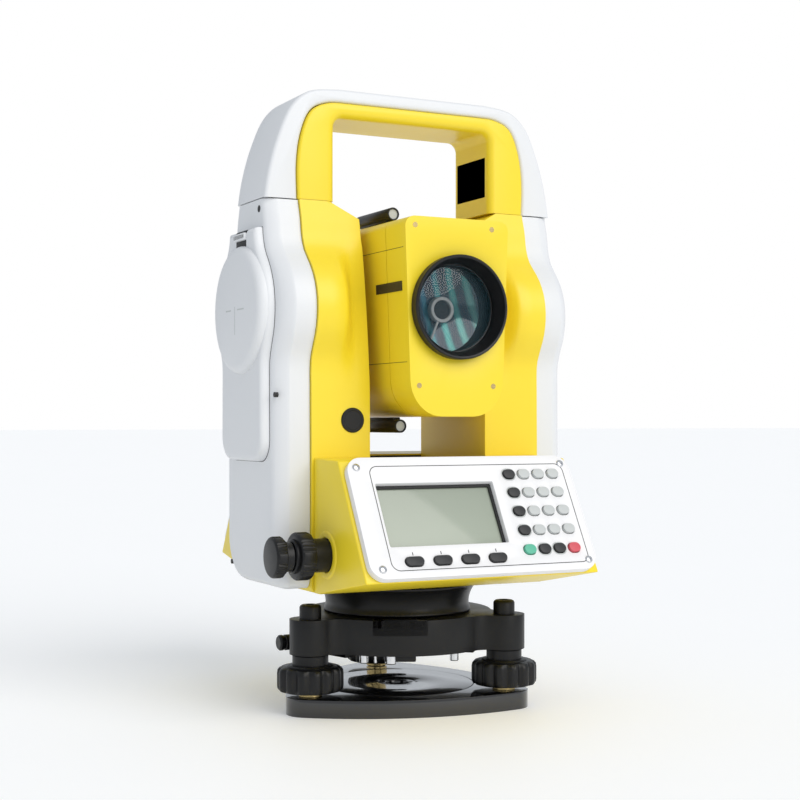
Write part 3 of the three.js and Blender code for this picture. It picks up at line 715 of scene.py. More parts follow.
@dataclass
class Tribrach:
    """The three-screw base: plates, foot screws, body, circular level and lock knob."""

    screw_circle: float = 66.0
    screw_angles: tuple = (74.5, 194.5, 314.5)
    plate_corner: float = 14.0
    plate_side: float = 59.0
    plate_top: float = 10.0
    spring_radius: float = 45.5
    bore: float = 7.2
    body_low: float = 34.0
    body_top: float = 54.0
    body_radius: float = 56.0
    lobe: float = 12.0
    fillet: float = 10.0
    cap_radius: float = 6.25
    cap_top: float = 62.0
    socket: float = 28.0
    knob_radius: float = 19.0
    flutes: int = 14
    notch_angle: float = 245.0
    level_angle: float = 45.0
    level_circle: float = 57.0
    level_radius: float = 10.0

    def build(self) -> None:
        """Makes every piece of the tribrach."""
        self.plates()
        for number, angle in enumerate(self.screw_angles, 1):
            self.foot_screw(number, angle)
        self.body()
        self.level()
        self.lock_knob()

    def at(self, angle: float, circle_radius: Optional[float] = None, z: float = 0.0) -> tuple[float, float,
                                                                                               float]:
        """A point on the screw circle, or on another one."""
        reach = self.screw_circle if circle_radius is None else circle_radius
        turn = math.radians(angle)
        return reach * math.cos(turn), reach * math.sin(turn), z

    def plate_outline(self, inset: float) -> list[tuple[float, float]]:
        """The base plate's outline: round corners and convex sides.

        Args:
            inset: how far inside the edge the outline runs.

        Returns:
            The points, anticlockwise.
        """
        reach = self.plate_side - self.plate_corner
        offset = (reach ** 2 - self.screw_circle ** 2) / (2 * (reach - self.screw_circle * 0.5))
        half = self.screw_circle * math.sin(math.radians(60))
        turn = math.degrees(math.atan2(half, self.screw_circle * 0.5 - offset))
        points = []
        for angle in self.screw_angles:
            side = angle + 60
            points += arc(self.at(angle), self.plate_corner - inset, side - 120 + turn, side - turn, 12)
            points += arc(self.at(side, offset), self.plate_side - offset - inset, side - turn, side + turn,
                          22)[1:-1]
        return points

    def plates(self) -> None:
        """The base plate and the round spring plate let into it."""
        plate = Form.prism(self.plate_outline(0), 0, self.plate_top, holes=[circle((0, 0), self.bore)])
        plate.bevel(0.9, 3, lambda p: p.xy.length > 20)
        plate.bevel(0.5, 2, lambda p: p.xy.length < 20)
        plate.finish("plate", Slot.GLOSS_BLACK, "tribrach", "base_plate")
        groove = self.spring_radius
        rim = Form.turned([(groove - 0.1, 9.0), (groove + 0.5, 9.0), (groove + 0.5, 10.04),
                           (groove - 0.1, 10.04)],
                          steps=96)
        rim.finish("plate_groove", Slot.SEAL_AND_SHADE, "tribrach")
        inner = self.bore + 4
        spring = Form.turned([(inner, 9.2), (groove - 0.1, 9.2), (groove - 0.1, 9.9), (groove - 0.5, 10.2),
                              (inner + 0.4, 10.2), (inner, 9.9)], steps=96)
        spring.finish("spring_disc", Slot.GLOSS_BLACK, "tribrach", "spring_plate")

    def foot_screw(self, number: int, angle: float) -> None:
        """One foot screw: a fluted knob on a brass spindle.

        Args:
            number: the screw's number, from one.
            angle: its direction from the vertical axis, in degrees.
        """
        low, high, radius = 13.0, 27.0, self.knob_radius
        sections = [(radius - 2.6, low), (radius - 1.0, low + 0.5), (radius - 0.2, low + 1.6),
                    (radius, low + 3.2),
                    (radius, high - 3.6), (radius - 0.3, high - 1.8), (radius - 1.3, high - 0.6),
                    (radius - 3.0, high)]
        rings = []
        for reach, z in sections:
            depth = 1.7 * min(1.0, max(0.25, (reach - radius + 3.0) / 3.0))
            rings.append([(x, y, z) for x, y in fluted(reach, depth, self.flutes, 10)])
        knob = Form.skin(rings)
        hub = Form.turned([(0, high - 0.5), (13.4, high - 0.5), (13.4, high + 0.2), (12.6, high + 0.9),
                           (10.3, high + 1.1), (10.3, 33.2), (9.8, self.body_low - 0.3),
                           (0, self.body_low - 0.3)])
        knob.join(hub)
        body = f"foot_screw_{number}"
        place = Matrix.Translation(self.at(angle))
        knob.finish(f"levelling_knob_{number}", Slot.BLACK_METAL, body, f"foot_screw_{number}", place=place,
                    sharp=30)
        spindle = Form.turned([(0, 4.4), (3.0, 4.4), (4.9, 6.2), (4.9, 8.3), (4.1, 9.0), (4.1, 9.8),
                               (6.6, 10.2),
                               (6.6, 11.6), (5.0, 12.2), (5.0, low + 0.5), (0, low + 0.5)], steps=40)
        spindle.finish(f"spindle_{number}", Slot.BRASS, body, place=place)
        thread = Form.turned([(0, self.body_low - 0.6), (4.4, self.body_low - 0.6), (4.4, 51.5), (0, 51.5)],
                             steps=24)
        thread.finish(f"thread_{number}", Slot.BRIGHT, body, place=place)

    def body_outline(self) -> list[tuple[float, float]]:
        """A disc with a lobe at each foot screw, blended by hollow fillets.

        Returns:
            The points, anticlockwise.
        """
        reach = self.body_radius + self.fillet
        spread = math.degrees(math.acos((reach ** 2 + self.screw_circle ** 2 - (self.lobe + self.fillet) ** 2)
                                        / (2 * reach * self.screw_circle)))
        points = []
        for angle in self.screw_angles:
            lobe = Vector(self.at(angle)[:2])
            before, after = (Vector(self.at(angle + s * spread, reach)[:2]) for s in (-1, 1))
            first, last = (math.degrees(math.atan2(*(p - lobe).yx)) for p in (before, after))
            last += 360 if last < first else 0
            start = math.degrees(math.atan2(*(lobe - before).yx))
            base = angle - spread + 180
            while start > base:
                start -= 360
            while start < base - 360:
                start += 360
            hollow = arc(before, self.fillet, base, start, 5)
            points += hollow[:-1]
            points += arc(lobe, self.lobe, first, last, 14)
            start = math.degrees(math.atan2(*(lobe - after).yx))
            end = angle + spread + 180
            while start < end:
                start += 360
            while start > end + 360:
                start -= 360
            points += arc(after, self.fillet, start, end, 5)[1:-1]
            points += arc((0, 0), self.body_radius, angle + spread, angle + 120 - spread, 18)[:-1]
        return points

    def body(self) -> None:
        """The body, its notch, the caps over the foot screws and the fittings under it."""
        low, top = self.body_low, self.body_top
        rim = Form.prism(self.body_outline(), low, top, holes=[circle((0, 0), self.socket, 64)])
        turn = Matrix.Rotation(math.radians(self.notch_angle), 4, "Z")
        rim.transform(turn.inverted())
        rim.slice(1, -15.5, 15.5).slice(0, self.body_radius - 7).slice(2, top - 8.4)
        rim.sink(lambda p: abs(p.y) < 15.5 and p.x > self.body_radius - 7 and p.z > top - 0.01, (0, 0, -8.4))
        rim.transform(turn)
        rim.bevel(0.9, 3, lambda p: p.z < low + 0.01 or p.z > top - 0.01)
        rim.finish("tribrach_casting", Slot.BLACK_METAL, "tribrach", "tribrach_body", sharp=30)
        bar = Form.block((self.body_radius - 6, -13.2, top - 5.6), (self.body_radius - 2.2, 6.4, top - 1.4))
        bar.bevel(0.9, 3)
        bar.finish("notch_bar", Slot.BLACK_METAL, "tribrach", place=turn)
        floor = Form.turned([(self.socket - 7, low), (self.socket + 0.5, low), (self.socket + 0.5, top - 1),
                             (self.socket, top - 1), (self.socket, low + 5), (self.socket - 7, low + 5)])
        floor.finish("tribrach_socket", Slot.BLACK_METAL, "tribrach")
        for number, angle in enumerate(self.screw_angles, 1):
            edge = self.cap_top
            cap = Form.turned([(0, top - 1), (self.cap_radius, top - 1), (self.cap_radius, edge - 1.6),
                               (self.cap_radius - 0.4, edge - 0.6), (self.cap_radius - 1.4, edge),
                               (2.6, edge), (2.4, edge - 0.8), (0, edge - 0.8)])
            cap.finish(f"screw_cap_{number}", Slot.BLACK_PLASTIC, "tribrach",
                       place=Matrix.Translation(self.at(angle)))
            boss = Form.turned([(4.6, low - 2.6), (8.2, low - 2.6), (8.8, low - 2.0), (8.8, low + 1),
                                (4.6, low + 1)])
            boss.move((0, 0, 2.3))
            boss.finish(f"screw_bush_{number}", Slot.BLACK_METAL, "tribrach",
                        place=Matrix.Translation(self.at(angle)))
        self.studs()

    def studs(self) -> None:
        """The bright adjusting studs and the dark cross blocks under the body."""
        low = self.body_low
        for number, (angle, radius, width) in enumerate(
                [(221.0, 50.5, 5.0), (229.0, 50.5, 1.6), (239.0, 50.5, 6.4), (284.0, 50.0, 5.0)], 1):
            stud = Form.turned([(0, low + 1), (width / 2, low + 1), (width / 2, low - 4.4),
                                (width / 2 - 0.4, low - 4.9), (0, low - 4.9)], steps=28)
            stud.finish(f"stud_{number}", Slot.BRIGHT, "tribrach",
                        place=Matrix.Translation(self.at(angle, radius)))
        for number, (angle, radius,
                     size) in enumerate([(245.0, 48.0, 9.0), (196.0, 44.0, 8.0), (320.0, 44.0, 8.0)], 1):
            block = Form.block((-size, -4, low - 3.6), (size, 4, low + 1)).bevel(0.8, 2)
            turn = Matrix.Rotation(math.radians(angle + 90), 4, "Z")
            block.finish(f"under_block_{number}", Slot.BLACK_METAL, "tribrach",
                         place=Matrix.Translation(self.at(angle, radius)) @ turn)

    def level(self) -> None:
        """The circular level: a rim, a green vial and its holder."""
        top = self.body_top
        place = Matrix.Translation(self.at(self.level_angle, self.level_circle))
        holder = Form.turned([(self.level_radius + 0.3, self.body_low + 0.6),
                              (self.level_radius + 3, self.body_low + 0.6),
                              (self.level_radius + 3, top - 0.8), (self.level_radius + 2.2, top),
                              (self.level_radius + 0.3, top)])
        holder.finish("level_holder", Slot.BLACK_METAL, "tribrach", place=place)
        rim = Form.turned([(0, top - 4.6), (self.level_radius, top - 4.6), (self.level_radius, top + 3),
                           (self.level_radius - 0.8, top + 4), (self.level_radius - 2.4, top + 4),
                           (self.level_radius - 2.8, top + 3), (0, top + 3)])
        rim.finish("level_rim", Slot.BRIGHT, "tribrach", "circular_level", place=place)
        vial = Form.turned([(0, top + 2.6), (self.level_radius - 2.9, top + 2.9),
                            (self.level_radius - 2.9, top + 3.4),
                            (4, top + 4.2), (0, top + 4.4)])
        vial.finish("level_vial", Slot.KEY_GREEN, "tribrach", place=place)

    def lock_knob(self) -> None:
        """The lock lever's knob at the left of the body."""
        knob = Form.turned([(0, 41), (2.6, 41), (2.6, 67), (4.1, 67), (4.5, 67.4), (4.5, 72.4), (4.0, 72.8),
                            (4.0, 73.6), (4.5, 74.0), (4.5, 75.6), (3.6, 76.5), (0, 76.5)], Axis.X, steps=40)
        knob.finish("lock_button", Slot.BLACK_METAL, "lock_knob", "lock_knob",
                    place=Matrix.Translation((0, 1, 38.6)) @ Matrix.Diagonal((-1, 1, 1, 1)))


# ---- instrument base ----------------------------------------------------------------------------


@dataclass
class InstrumentBase:
    """The flared skirt under the casing and the spindle that the alidade turns on."""

    socket: float = 27.7
    seat: float = 54.3
    casing: float = 70.6
    spindle: float = 15.0
    top: float = 100.0

    def build(self) -> None:
        """Makes the base as one turned piece."""
        profile = [(0, 40), (self.socket, 40), (self.socket, self.seat), (43.2, self.seat),
                   (44.0, self.seat + 0.7)]
        profile += smooth([(44.0, 55.4), (42.9, 58.8), (43.4, 63.0), (45.0, 67.0), (47.0, 69.8)], 4)
        profile += [(47.0, self.casing), (self.spindle, self.casing), (self.spindle, self.top), (0, self.top)]
        skirt = Form.turned(profile, steps=96)
        skirt.finish("flared_skirt", Slot.BLACK_METAL, "tribrach", "instrument_base")


# ---- casing -------------------------------------------------------------------------------------

SWELL_Z = (60, 140, 185, 200, 208, 217, 228, 239, 248, 255, 262, 270, 281, 292, 304)
SWELL_HALF = (40, 40.3, 40, 40.3, 43.6, 48, 50, 48.6, 44.4, 38.8, 32, 28.2, 26.2, 23, 22)
SPINE_Z = (60, 180, 200, 229, 256, 282, 291.6, 304)
SPINE_HALF = (40, 40, 38.7, 35.5, 31.6, 26.3, 23, 22)
TRUNNION_Z = 229.5
SEAM = 291.6


def along(places: Point, values: Point, at: float) -> float:
    """A smooth curve through (place, value) pairs, read at one place.

    Args:
        places: where the values are given, in order.
        values: the value at each place.
        at: the place asked for.

    Returns:
        The value there.
    """
    k = max(0, min(len(places) - 2, sum(1 for p in places if p <= at) - 1))
    span = places[k + 1] - places[k]
    t = min(1.0, max(0.0, (at - places[k]) / span))

    def slope(i: int) -> float:
        """The curve's slope at a given pair."""
        low, high = max(0, i - 1), min(len(places) - 1, i + 1)
        return (values[high] - values[low]) / (places[high] - places[low])

    return ((2 * t ** 3 - 3 * t ** 2 + 1) * values[k] + (t ** 3 - 2 * t ** 2 + t) * span * slope(k)
            + (3 * t ** 2 - 2 * t ** 3) * values[k + 1] + (t ** 3 - t ** 2) * span * slope(k + 1))


def half_depth(x: float, z: float) -> float:
    """The casing's half depth at a place: full at the outer faces, less towards the telescope.

    Args:
        x: the place across the casing.
        z: the height.

    Returns:
        Half of the front-to-back depth there.
    """
    outer = along(SWELL_Z, SWELL_HALF, z)
    inner = min(outer, along(SPINE_Z, SPINE_HALF, z))
    blend = min(1.0, max(0.0, (abs(x) - 45.5) / 11.5))
    blend = blend * blend * (3 - 2 * blend)
    return inner + (outer - inner) * blend


@dataclass
class Yoke:
    """The yellow casting with its two standards."""

    half_width: float = 73.4
    slot: float = 37.5
    slot_low: float = 129.0
    slot_corner: float = 16.0
    shoulder_x: float = 55.0
    shoulder_low: float = 282.0
    bottom: float = 71.2
    trunnion: float = 15.3
    edge: float = 1.3

    def build(self) -> None:
        """Makes the casting and its small fittings."""
        self.casting()
        self.fittings()

    def outline(self) -> list[tuple[float, float]]:
        """The front view of the casting, as (x, z).

        Returns:
            The points of the outline.
        """
        corner = self.slot - self.slot_corner
        low = self.slot_low + self.slot_corner
        w, r = self.half_width, 3.0
        points = [(w, SEAM), (self.shoulder_x, SEAM), (self.slot, self.shoulder_low)]
        points += arc((corner, low), self.slot_corner, 0, -90, 12)
        points += arc((-corner, low), self.slot_corner, -90, -180, 12)
        points += [(-self.slot, self.shoulder_low), (-self.shoulder_x, SEAM), (-w, SEAM)]
        points += arc((-w + r, self.bottom + r), r, 180, 270, 4)
        points += arc((w - r, self.bottom + r), r, 270, 360, 4)
        return points

    def casting(self) -> None:
        """The casting: its front view pushed through, then swelled where the standards are deep."""
        form = Form.prism(self.outline(), -40, 40, Axis.Y)
        levels = [76 + 8 * k for k in range(14)] + [186 + 4 * k for k in range(27)]
        form.slice(2, *[z for z in levels if z < SEAM - 1])
        form.slice(0, *[s * x for s in (-1, 1) for x in (45.5, 47.8, 50.1, 52.4, 54.7, 57, 65)])
        side = {1: 1, -1: -1}

        def swell(p: Vector) -> Point:
            """Puts a vertex of either face at the casing's half depth."""
            return p.x, side[1 if p.y > 0 else -1] * half_depth(p.x, p.z), p.z

        form.shape(swell)
        form.bevel(self.edge, 3, lambda p: abs(p.x) < self.half_width - 0.1 and p.z < SEAM - 0.1, angle=50)
        form.finish("yoke_casting", Slot.YELLOW, "alidade", "yoke_frame", sharp=50)

    def fittings(self) -> None:
        """The trunnion bushes and the blind plugs."""
        for name, side in (("left", -1), ("right", 1)):
            bush = Form.turned([(self.trunnion - 0.2, self.slot - 0.4),
                                (self.trunnion + 3.2, self.slot - 0.4),
                                (self.trunnion + 3.2, self.slot + 0.6),
                                (self.trunnion - 0.2, self.slot + 0.6)],
                               Axis.X, (0, 0, TRUNNION_Z))
            bush.finish(f"trunnion_bush_{name}", Slot.BLACK_METAL, "alidade",
                        place=Matrix.Diagonal((side, 1, 1, 1)))
        z = 167.0
        for name, side in (("front", -1), ("rear", 1)):
            reach = half_depth(48.5, z)
            plug = Form.turned([(0, reach - 2), (7.0, reach - 2), (7.0, reach + 0.5), (6.5, reach + 0.9),
                                (5.6, reach + 0.9), (5.3, reach + 0.6), (0, reach + 0.6)], Axis.Y, steps=48)
            plug.finish(f"blind_plug_{name}", Slot.BLACK_PLASTIC, "alidade",
                        place=Matrix.Translation((-48.5 * -side, 0, z)) @ Matrix.Diagonal((1, side, 1, 1)))


@dataclass
class SideCovers:
    """The two white covers with their front and rear bevels, and the battery in the left one."""

    inner: float = 73.7
    face: float = 94.0
    bottom: float = 73.4
    setback: float = 2.0
    front_bevel: float = 0.2
    rear_bevel: float = 4.0
    battery_low: float = 144.0
    battery_high: float = 275.0

    def build(self) -> None:
        """Makes both covers, the battery, its latch and the small marks."""
        self.cover("right_side_cover", 1, "right_cover")
        self.cover("left_side_cover", -1, "left_cover")
        self.battery()
        self.latch()
        self.marks()

    def side_ring(self, x: float, share: float, steps: int = 44) -> list[tuple[float, float, float]]:
        """The cover's outline in (y, z) at one x, inset by a share of its bevels.

        Args:
            x: where the ring stands.
            share: how much of the bevels is taken off, from 0 for none to 1 for all.
            steps: how many steps its height has.

        Returns:
            The points of the ring.
        """
        points = []
        low, top = self.bottom + share * self.rear_bevel, SEAM - 0.3
        for side, corner in ((1, 22.0), (-1, 6.0)):
            def half(z: float, side: int = side) -> float:
                """The half depth on one side."""
                whole = along(SWELL_Z, SWELL_HALF, z)
                bevel = self.rear_bevel if side > 0 else self.front_bevel * whole
                return whole - self.setback - share * bevel
            start = low + corner
            rise = [(side * (half(start) - corner * (1 - math.sin(a))), start - corner * math.cos(a))
                    for a in (math.radians(90 * k / 8) for k in range(8))]
            heights = [start + (top - start) * k / steps for k in range(steps + 1)]
            rise += [(side * half(z), z) for z in heights]
            points += rise if side > 0 else rise[::-1]
        return [(x, y, z) for y, z in points]

    def cover(self, name: str, side: int, node: str) -> None:
        """One cover as a skin over its outline at rising x.

        Args:
            name: the piece's name.
            side: 1 on the right and -1 on the left.
            node: the frame node it stands for.
        """
        sections = [(self.inner, 0.0), (85.4, 0.0), (86.1, 0.02), (87.2, 0.09), (89.8, 0.28), (92.2, 0.56),
                    (93.1, 0.72), (93.6, 0.88), (93.88, 1.0), (self.face, 1.2)]
        form = Form.skin([self.side_ring(x, share) for x, share in sections])
        if side < 0:
            form.transform(Matrix.Diagonal((-1, 1, 1, 1)))
        form.finish(name, Slot.WHITE, "alidade", node, sharp=45)

    def battery_ring(self, x: float, inset: float, steps: int = 30) -> list[tuple[float, float, float]]:
        """The battery's outline in (y, z) at one x.

        Args:
            x: where the ring stands.
            inset: how far inside the edge it runs.
            steps: how many steps its height has.

        Returns:
            The points of the ring.
        """
        points = []
        low, top, corner = self.battery_low + inset, self.battery_high - inset, 12.0
        for side in (1, -1):
            def half(z: float, side: int = side) -> float:
                """The half depth on one side."""
                whole = along(SWELL_Z, SWELL_HALF, z)
                bevel = self.rear_bevel if side > 0 else self.front_bevel * whole
                return whole - self.setback - bevel - 1.0 - inset
            start = low + corner
            rise = [(side * (half(start) - corner * (1 - math.sin(a))), start - corner * math.cos(a))
                    for a in (math.radians(90 * k / 8) for k in range(8))]
            heights = [start + (top - start) * k / steps for k in range(steps + 1)]
            rise += [(side * half(z), z) for z in heights]
            points += rise if side > 0 else rise[::-1]
        return [(-x, y, z) for y, z in points]

    def battery(self) -> None:
        """The battery pack with its round lobe about the trunnion, and the dark seam round it."""
        seam = Form.skin([self.battery_ring(93.0, -0.35), self.battery_ring(94.08, -0.35)])
        seam.finish("battery_seam", Slot.SEAL_AND_SHADE, "alidade")
        pack = Form.skin([self.battery_ring(x, inset) for x, inset in (
            (78.0, 0.0), (96.4, 0.0), (97.8, 0.35), (98.8, 1.05), (99.25, 1.8), (99.4, 2.6), (99.5, 3.8))])
        pack.finish("battery_pack", Slot.WHITE, "battery", "battery", sharp=45)
        lobe = Form.turned([(0, 97), (36.6, 97), (36.6, 98.4), (36.2, 100.4), (35.2, 102.0), (33.6, 103.0),
                            (31.4, 103.5), (0, 103.5)], Axis.X, (0, 0, TRUNNION_Z), 96)
        lobe.finish("battery_lobe", Slot.WHITE, "battery", place=Matrix.Diagonal((-1, 1, 1, 1)), sharp=45)

    def latch(self) -> None:
        """The latch in its dark recess at the top of the battery."""
        recess = Form.block((-99.62, -8.6, 262.6), (-97, 8.6, 274.6)).bevel(1.2, 3)
        recess.finish("latch_recess", Slot.SEAL_AND_SHADE, "battery")
        button = Form.block((-101.4, -8, 268.8), (-98.5, 8, 273)).bevel(0.7, 3)
        button.slice(2, 270.0, 270.5, 271.4, 271.9)
        button.sink(lambda p: p.x < -101.3 and (270.0 < p.z < 270.5 or 271.4 < p.z < 271.9), (0.5, 0, 0))
        button.finish("latch_button", Slot.WHITE, "battery_latch", "battery_latch", sharp=30)

    def marks(self) -> None:
        """The instrument height mark on the trunnion lobe: two dashes across and a stem."""
        z = TRUNNION_Z
        form = Form.block((-103.55, -14.0, z - 0.4), (-103.4, -4.0, z + 0.4))
        form.join(Form.block((-103.55, 6.0, z - 0.4), (-103.4, 14.0, z + 0.4)),
                  Form.block((-103.55, -0.35, z - 14.0), (-103.4, 0.35, z + 2.0)))
        form.finish("height_mark", Slot.KEY_PALE, "battery")
        for number, (y, height,
                     radius) in enumerate(((-13.5, 286.0, 2.0), (-36.0, 181.0, 1.4), (30.0, 84.0, 1.4)), 1):
            hole = Form.turned([(0, 92), (radius, 92), (radius, 94.12), (0, 94.12)], Axis.X, (0, y, height),
                               24)
            hole.finish(f"cover_screw_{number}", Slot.SEAL_AND_SHADE, "alidade", place=Matrix.Diagonal((-1, 1, 1, 1)))


# ---- handle -------------------------------------------------------------------------------------


@dataclass
class Handle:
    """The carrying handle: a yellow frame under a white shell, held by a captive screw each side."""

    half_depth: float = 22.5
    grip: float = 51.0
    underside: float = 340.0
    corner: float = 6.0
    outer: tuple = ((94, 291.9), (91.5, 307), (86.5, 325), (78, 344), (66, 354), (48, 356.5))
    inner: tuple = ((73.7, 291.9), (74, 312), (71.5, 329), (65.5, 342.5), (55, 347.8), (42, 348.5))

    def build(self) -> None:
        """Makes the frame, the shell and the screws."""
        self.frame()
        self.shell()
        for name, side in (("left", -1), ("right", 1)):
            self.screw(name, side)

    @staticmethod
    def arch(curve: Sequence[Point]) -> list[tuple[float, float]]:
        """A right-hand curve and its mirror image, from low right over to low left."""
        right = smooth(curve, 6)
        return right + [(-x, z) for x, z in reversed(right)]

    def frame(self) -> None:
        """The yellow frame with a window through each post."""
        opening = [(-self.grip, 291.9)] + arc((-self.grip + self.corner, self.underside - self.corner),
                                              self.corner,
                                               180, 90, 8)
        opening += arc((self.grip - self.corner, self.underside - self.corner), self.corner, 90, 0, 8)
        opening.append((self.grip, 291.9))
        form = Form.prism(self.arch(self.inner) + opening, -self.half_depth, self.half_depth, Axis.Y)
        form.slice(1, -17, 17).slice(2, 302, 326)
        for side in (-1, 1):
            form.sink(lambda p, s=side: abs(p.x - s * self.grip) < 0.01 and abs(p.y) < 17 and 302 < p.z < 326,
                      (side * 17, 0, 0))
        form.bevel(1.4, 3, lambda p: self.on_face(p) and not self.inside_grip(p), angle=50)
        form.bevel(4.6, 6, lambda p: self.on_face(p) and self.inside_grip(p), angle=50)
        form.finish("handle_casting", Slot.YELLOW, "alidade", "handle_frame", sharp=50)

    def on_face(self, p: Vector) -> bool:
        """Whether a place lies on the frame's front or rear face, clear of its foot."""
        return abs(abs(p.y) - self.half_depth) < 0.01 and p.z > 292

    def inside_grip(self, p: Vector) -> bool:
        """Whether a place lies on the edge of the hand's opening."""
        return abs(p.x) < self.grip + 0.1 and p.z < self.underside + 0.1

    def shell(self) -> None:
        """The white shell over the frame's outer side."""
        inner = [(x + 0.3, z + (0.3 if k else 0.0)) for k, (x, z) in enumerate(self.inner)]
        outline = self.arch(self.outer) + [(x, z) for x, z in self.arch(inner)[::-1]]
        deep = self.half_depth - 0.8
        form = Form.prism(outline, -deep, deep, Axis.Y)
        form.bevel(2.2, 4, lambda p: abs(abs(p.y) - deep) < 0.01 and p.z > 292, angle=50)
        form.finish("handle_shell", Slot.WHITE, "alidade", "handle_cover", sharp=50)

    def screw(self, name: str, side: int) -> None:
        """One captive screw with a ribbed head in the post's window, and a dark sheet of painted shade behind
        it.

        Args:
            name: which side, in words.
            side: 1 on the right and -1 on the left.
        """
        x = side * 59.5
        # painted shade: a dark sheet at the back of the window's pocket, where shade falls
        shade = Form.block((min(x + side * 8.2, x + side * 8.6), -16.9, 302.1),
                           (max(x + side * 8.2, x + side * 8.6), 16.9, 325.9))
        shade.finish(f"window_painted_shade_{name}", Slot.SEAL_AND_SHADE, "alidade")
        rings = []
        for reach, z in ((6.2, 303.0), (7.0, 303.6), (7.2, 304.6), (7.2, 313.6), (6.8, 315.2), (5.8, 316.0)):
            rings.append([(px, py, z) for px, py in fluted(reach, 0.5, 24, 6)])
        head = Form.skin(rings)
        head.join(Form.turned([(0, 283), (3, 283), (3, 303.2), (0, 303.2)], steps=20))
        head.finish(f"captive_screw_{name}", Slot.BLACK_METAL, f"handle_screw_{name}", f"handle_screw_{name}",
                    place=Matrix.Translation((x, 0, 0)), sharp=30)


# ---- keypads ------------------------------------------------------------------------------------


class Look(Enum):
    """Which keypad: the full one in front or the plainer one behind."""

    FRONT = "front"
    REAR = "rear"


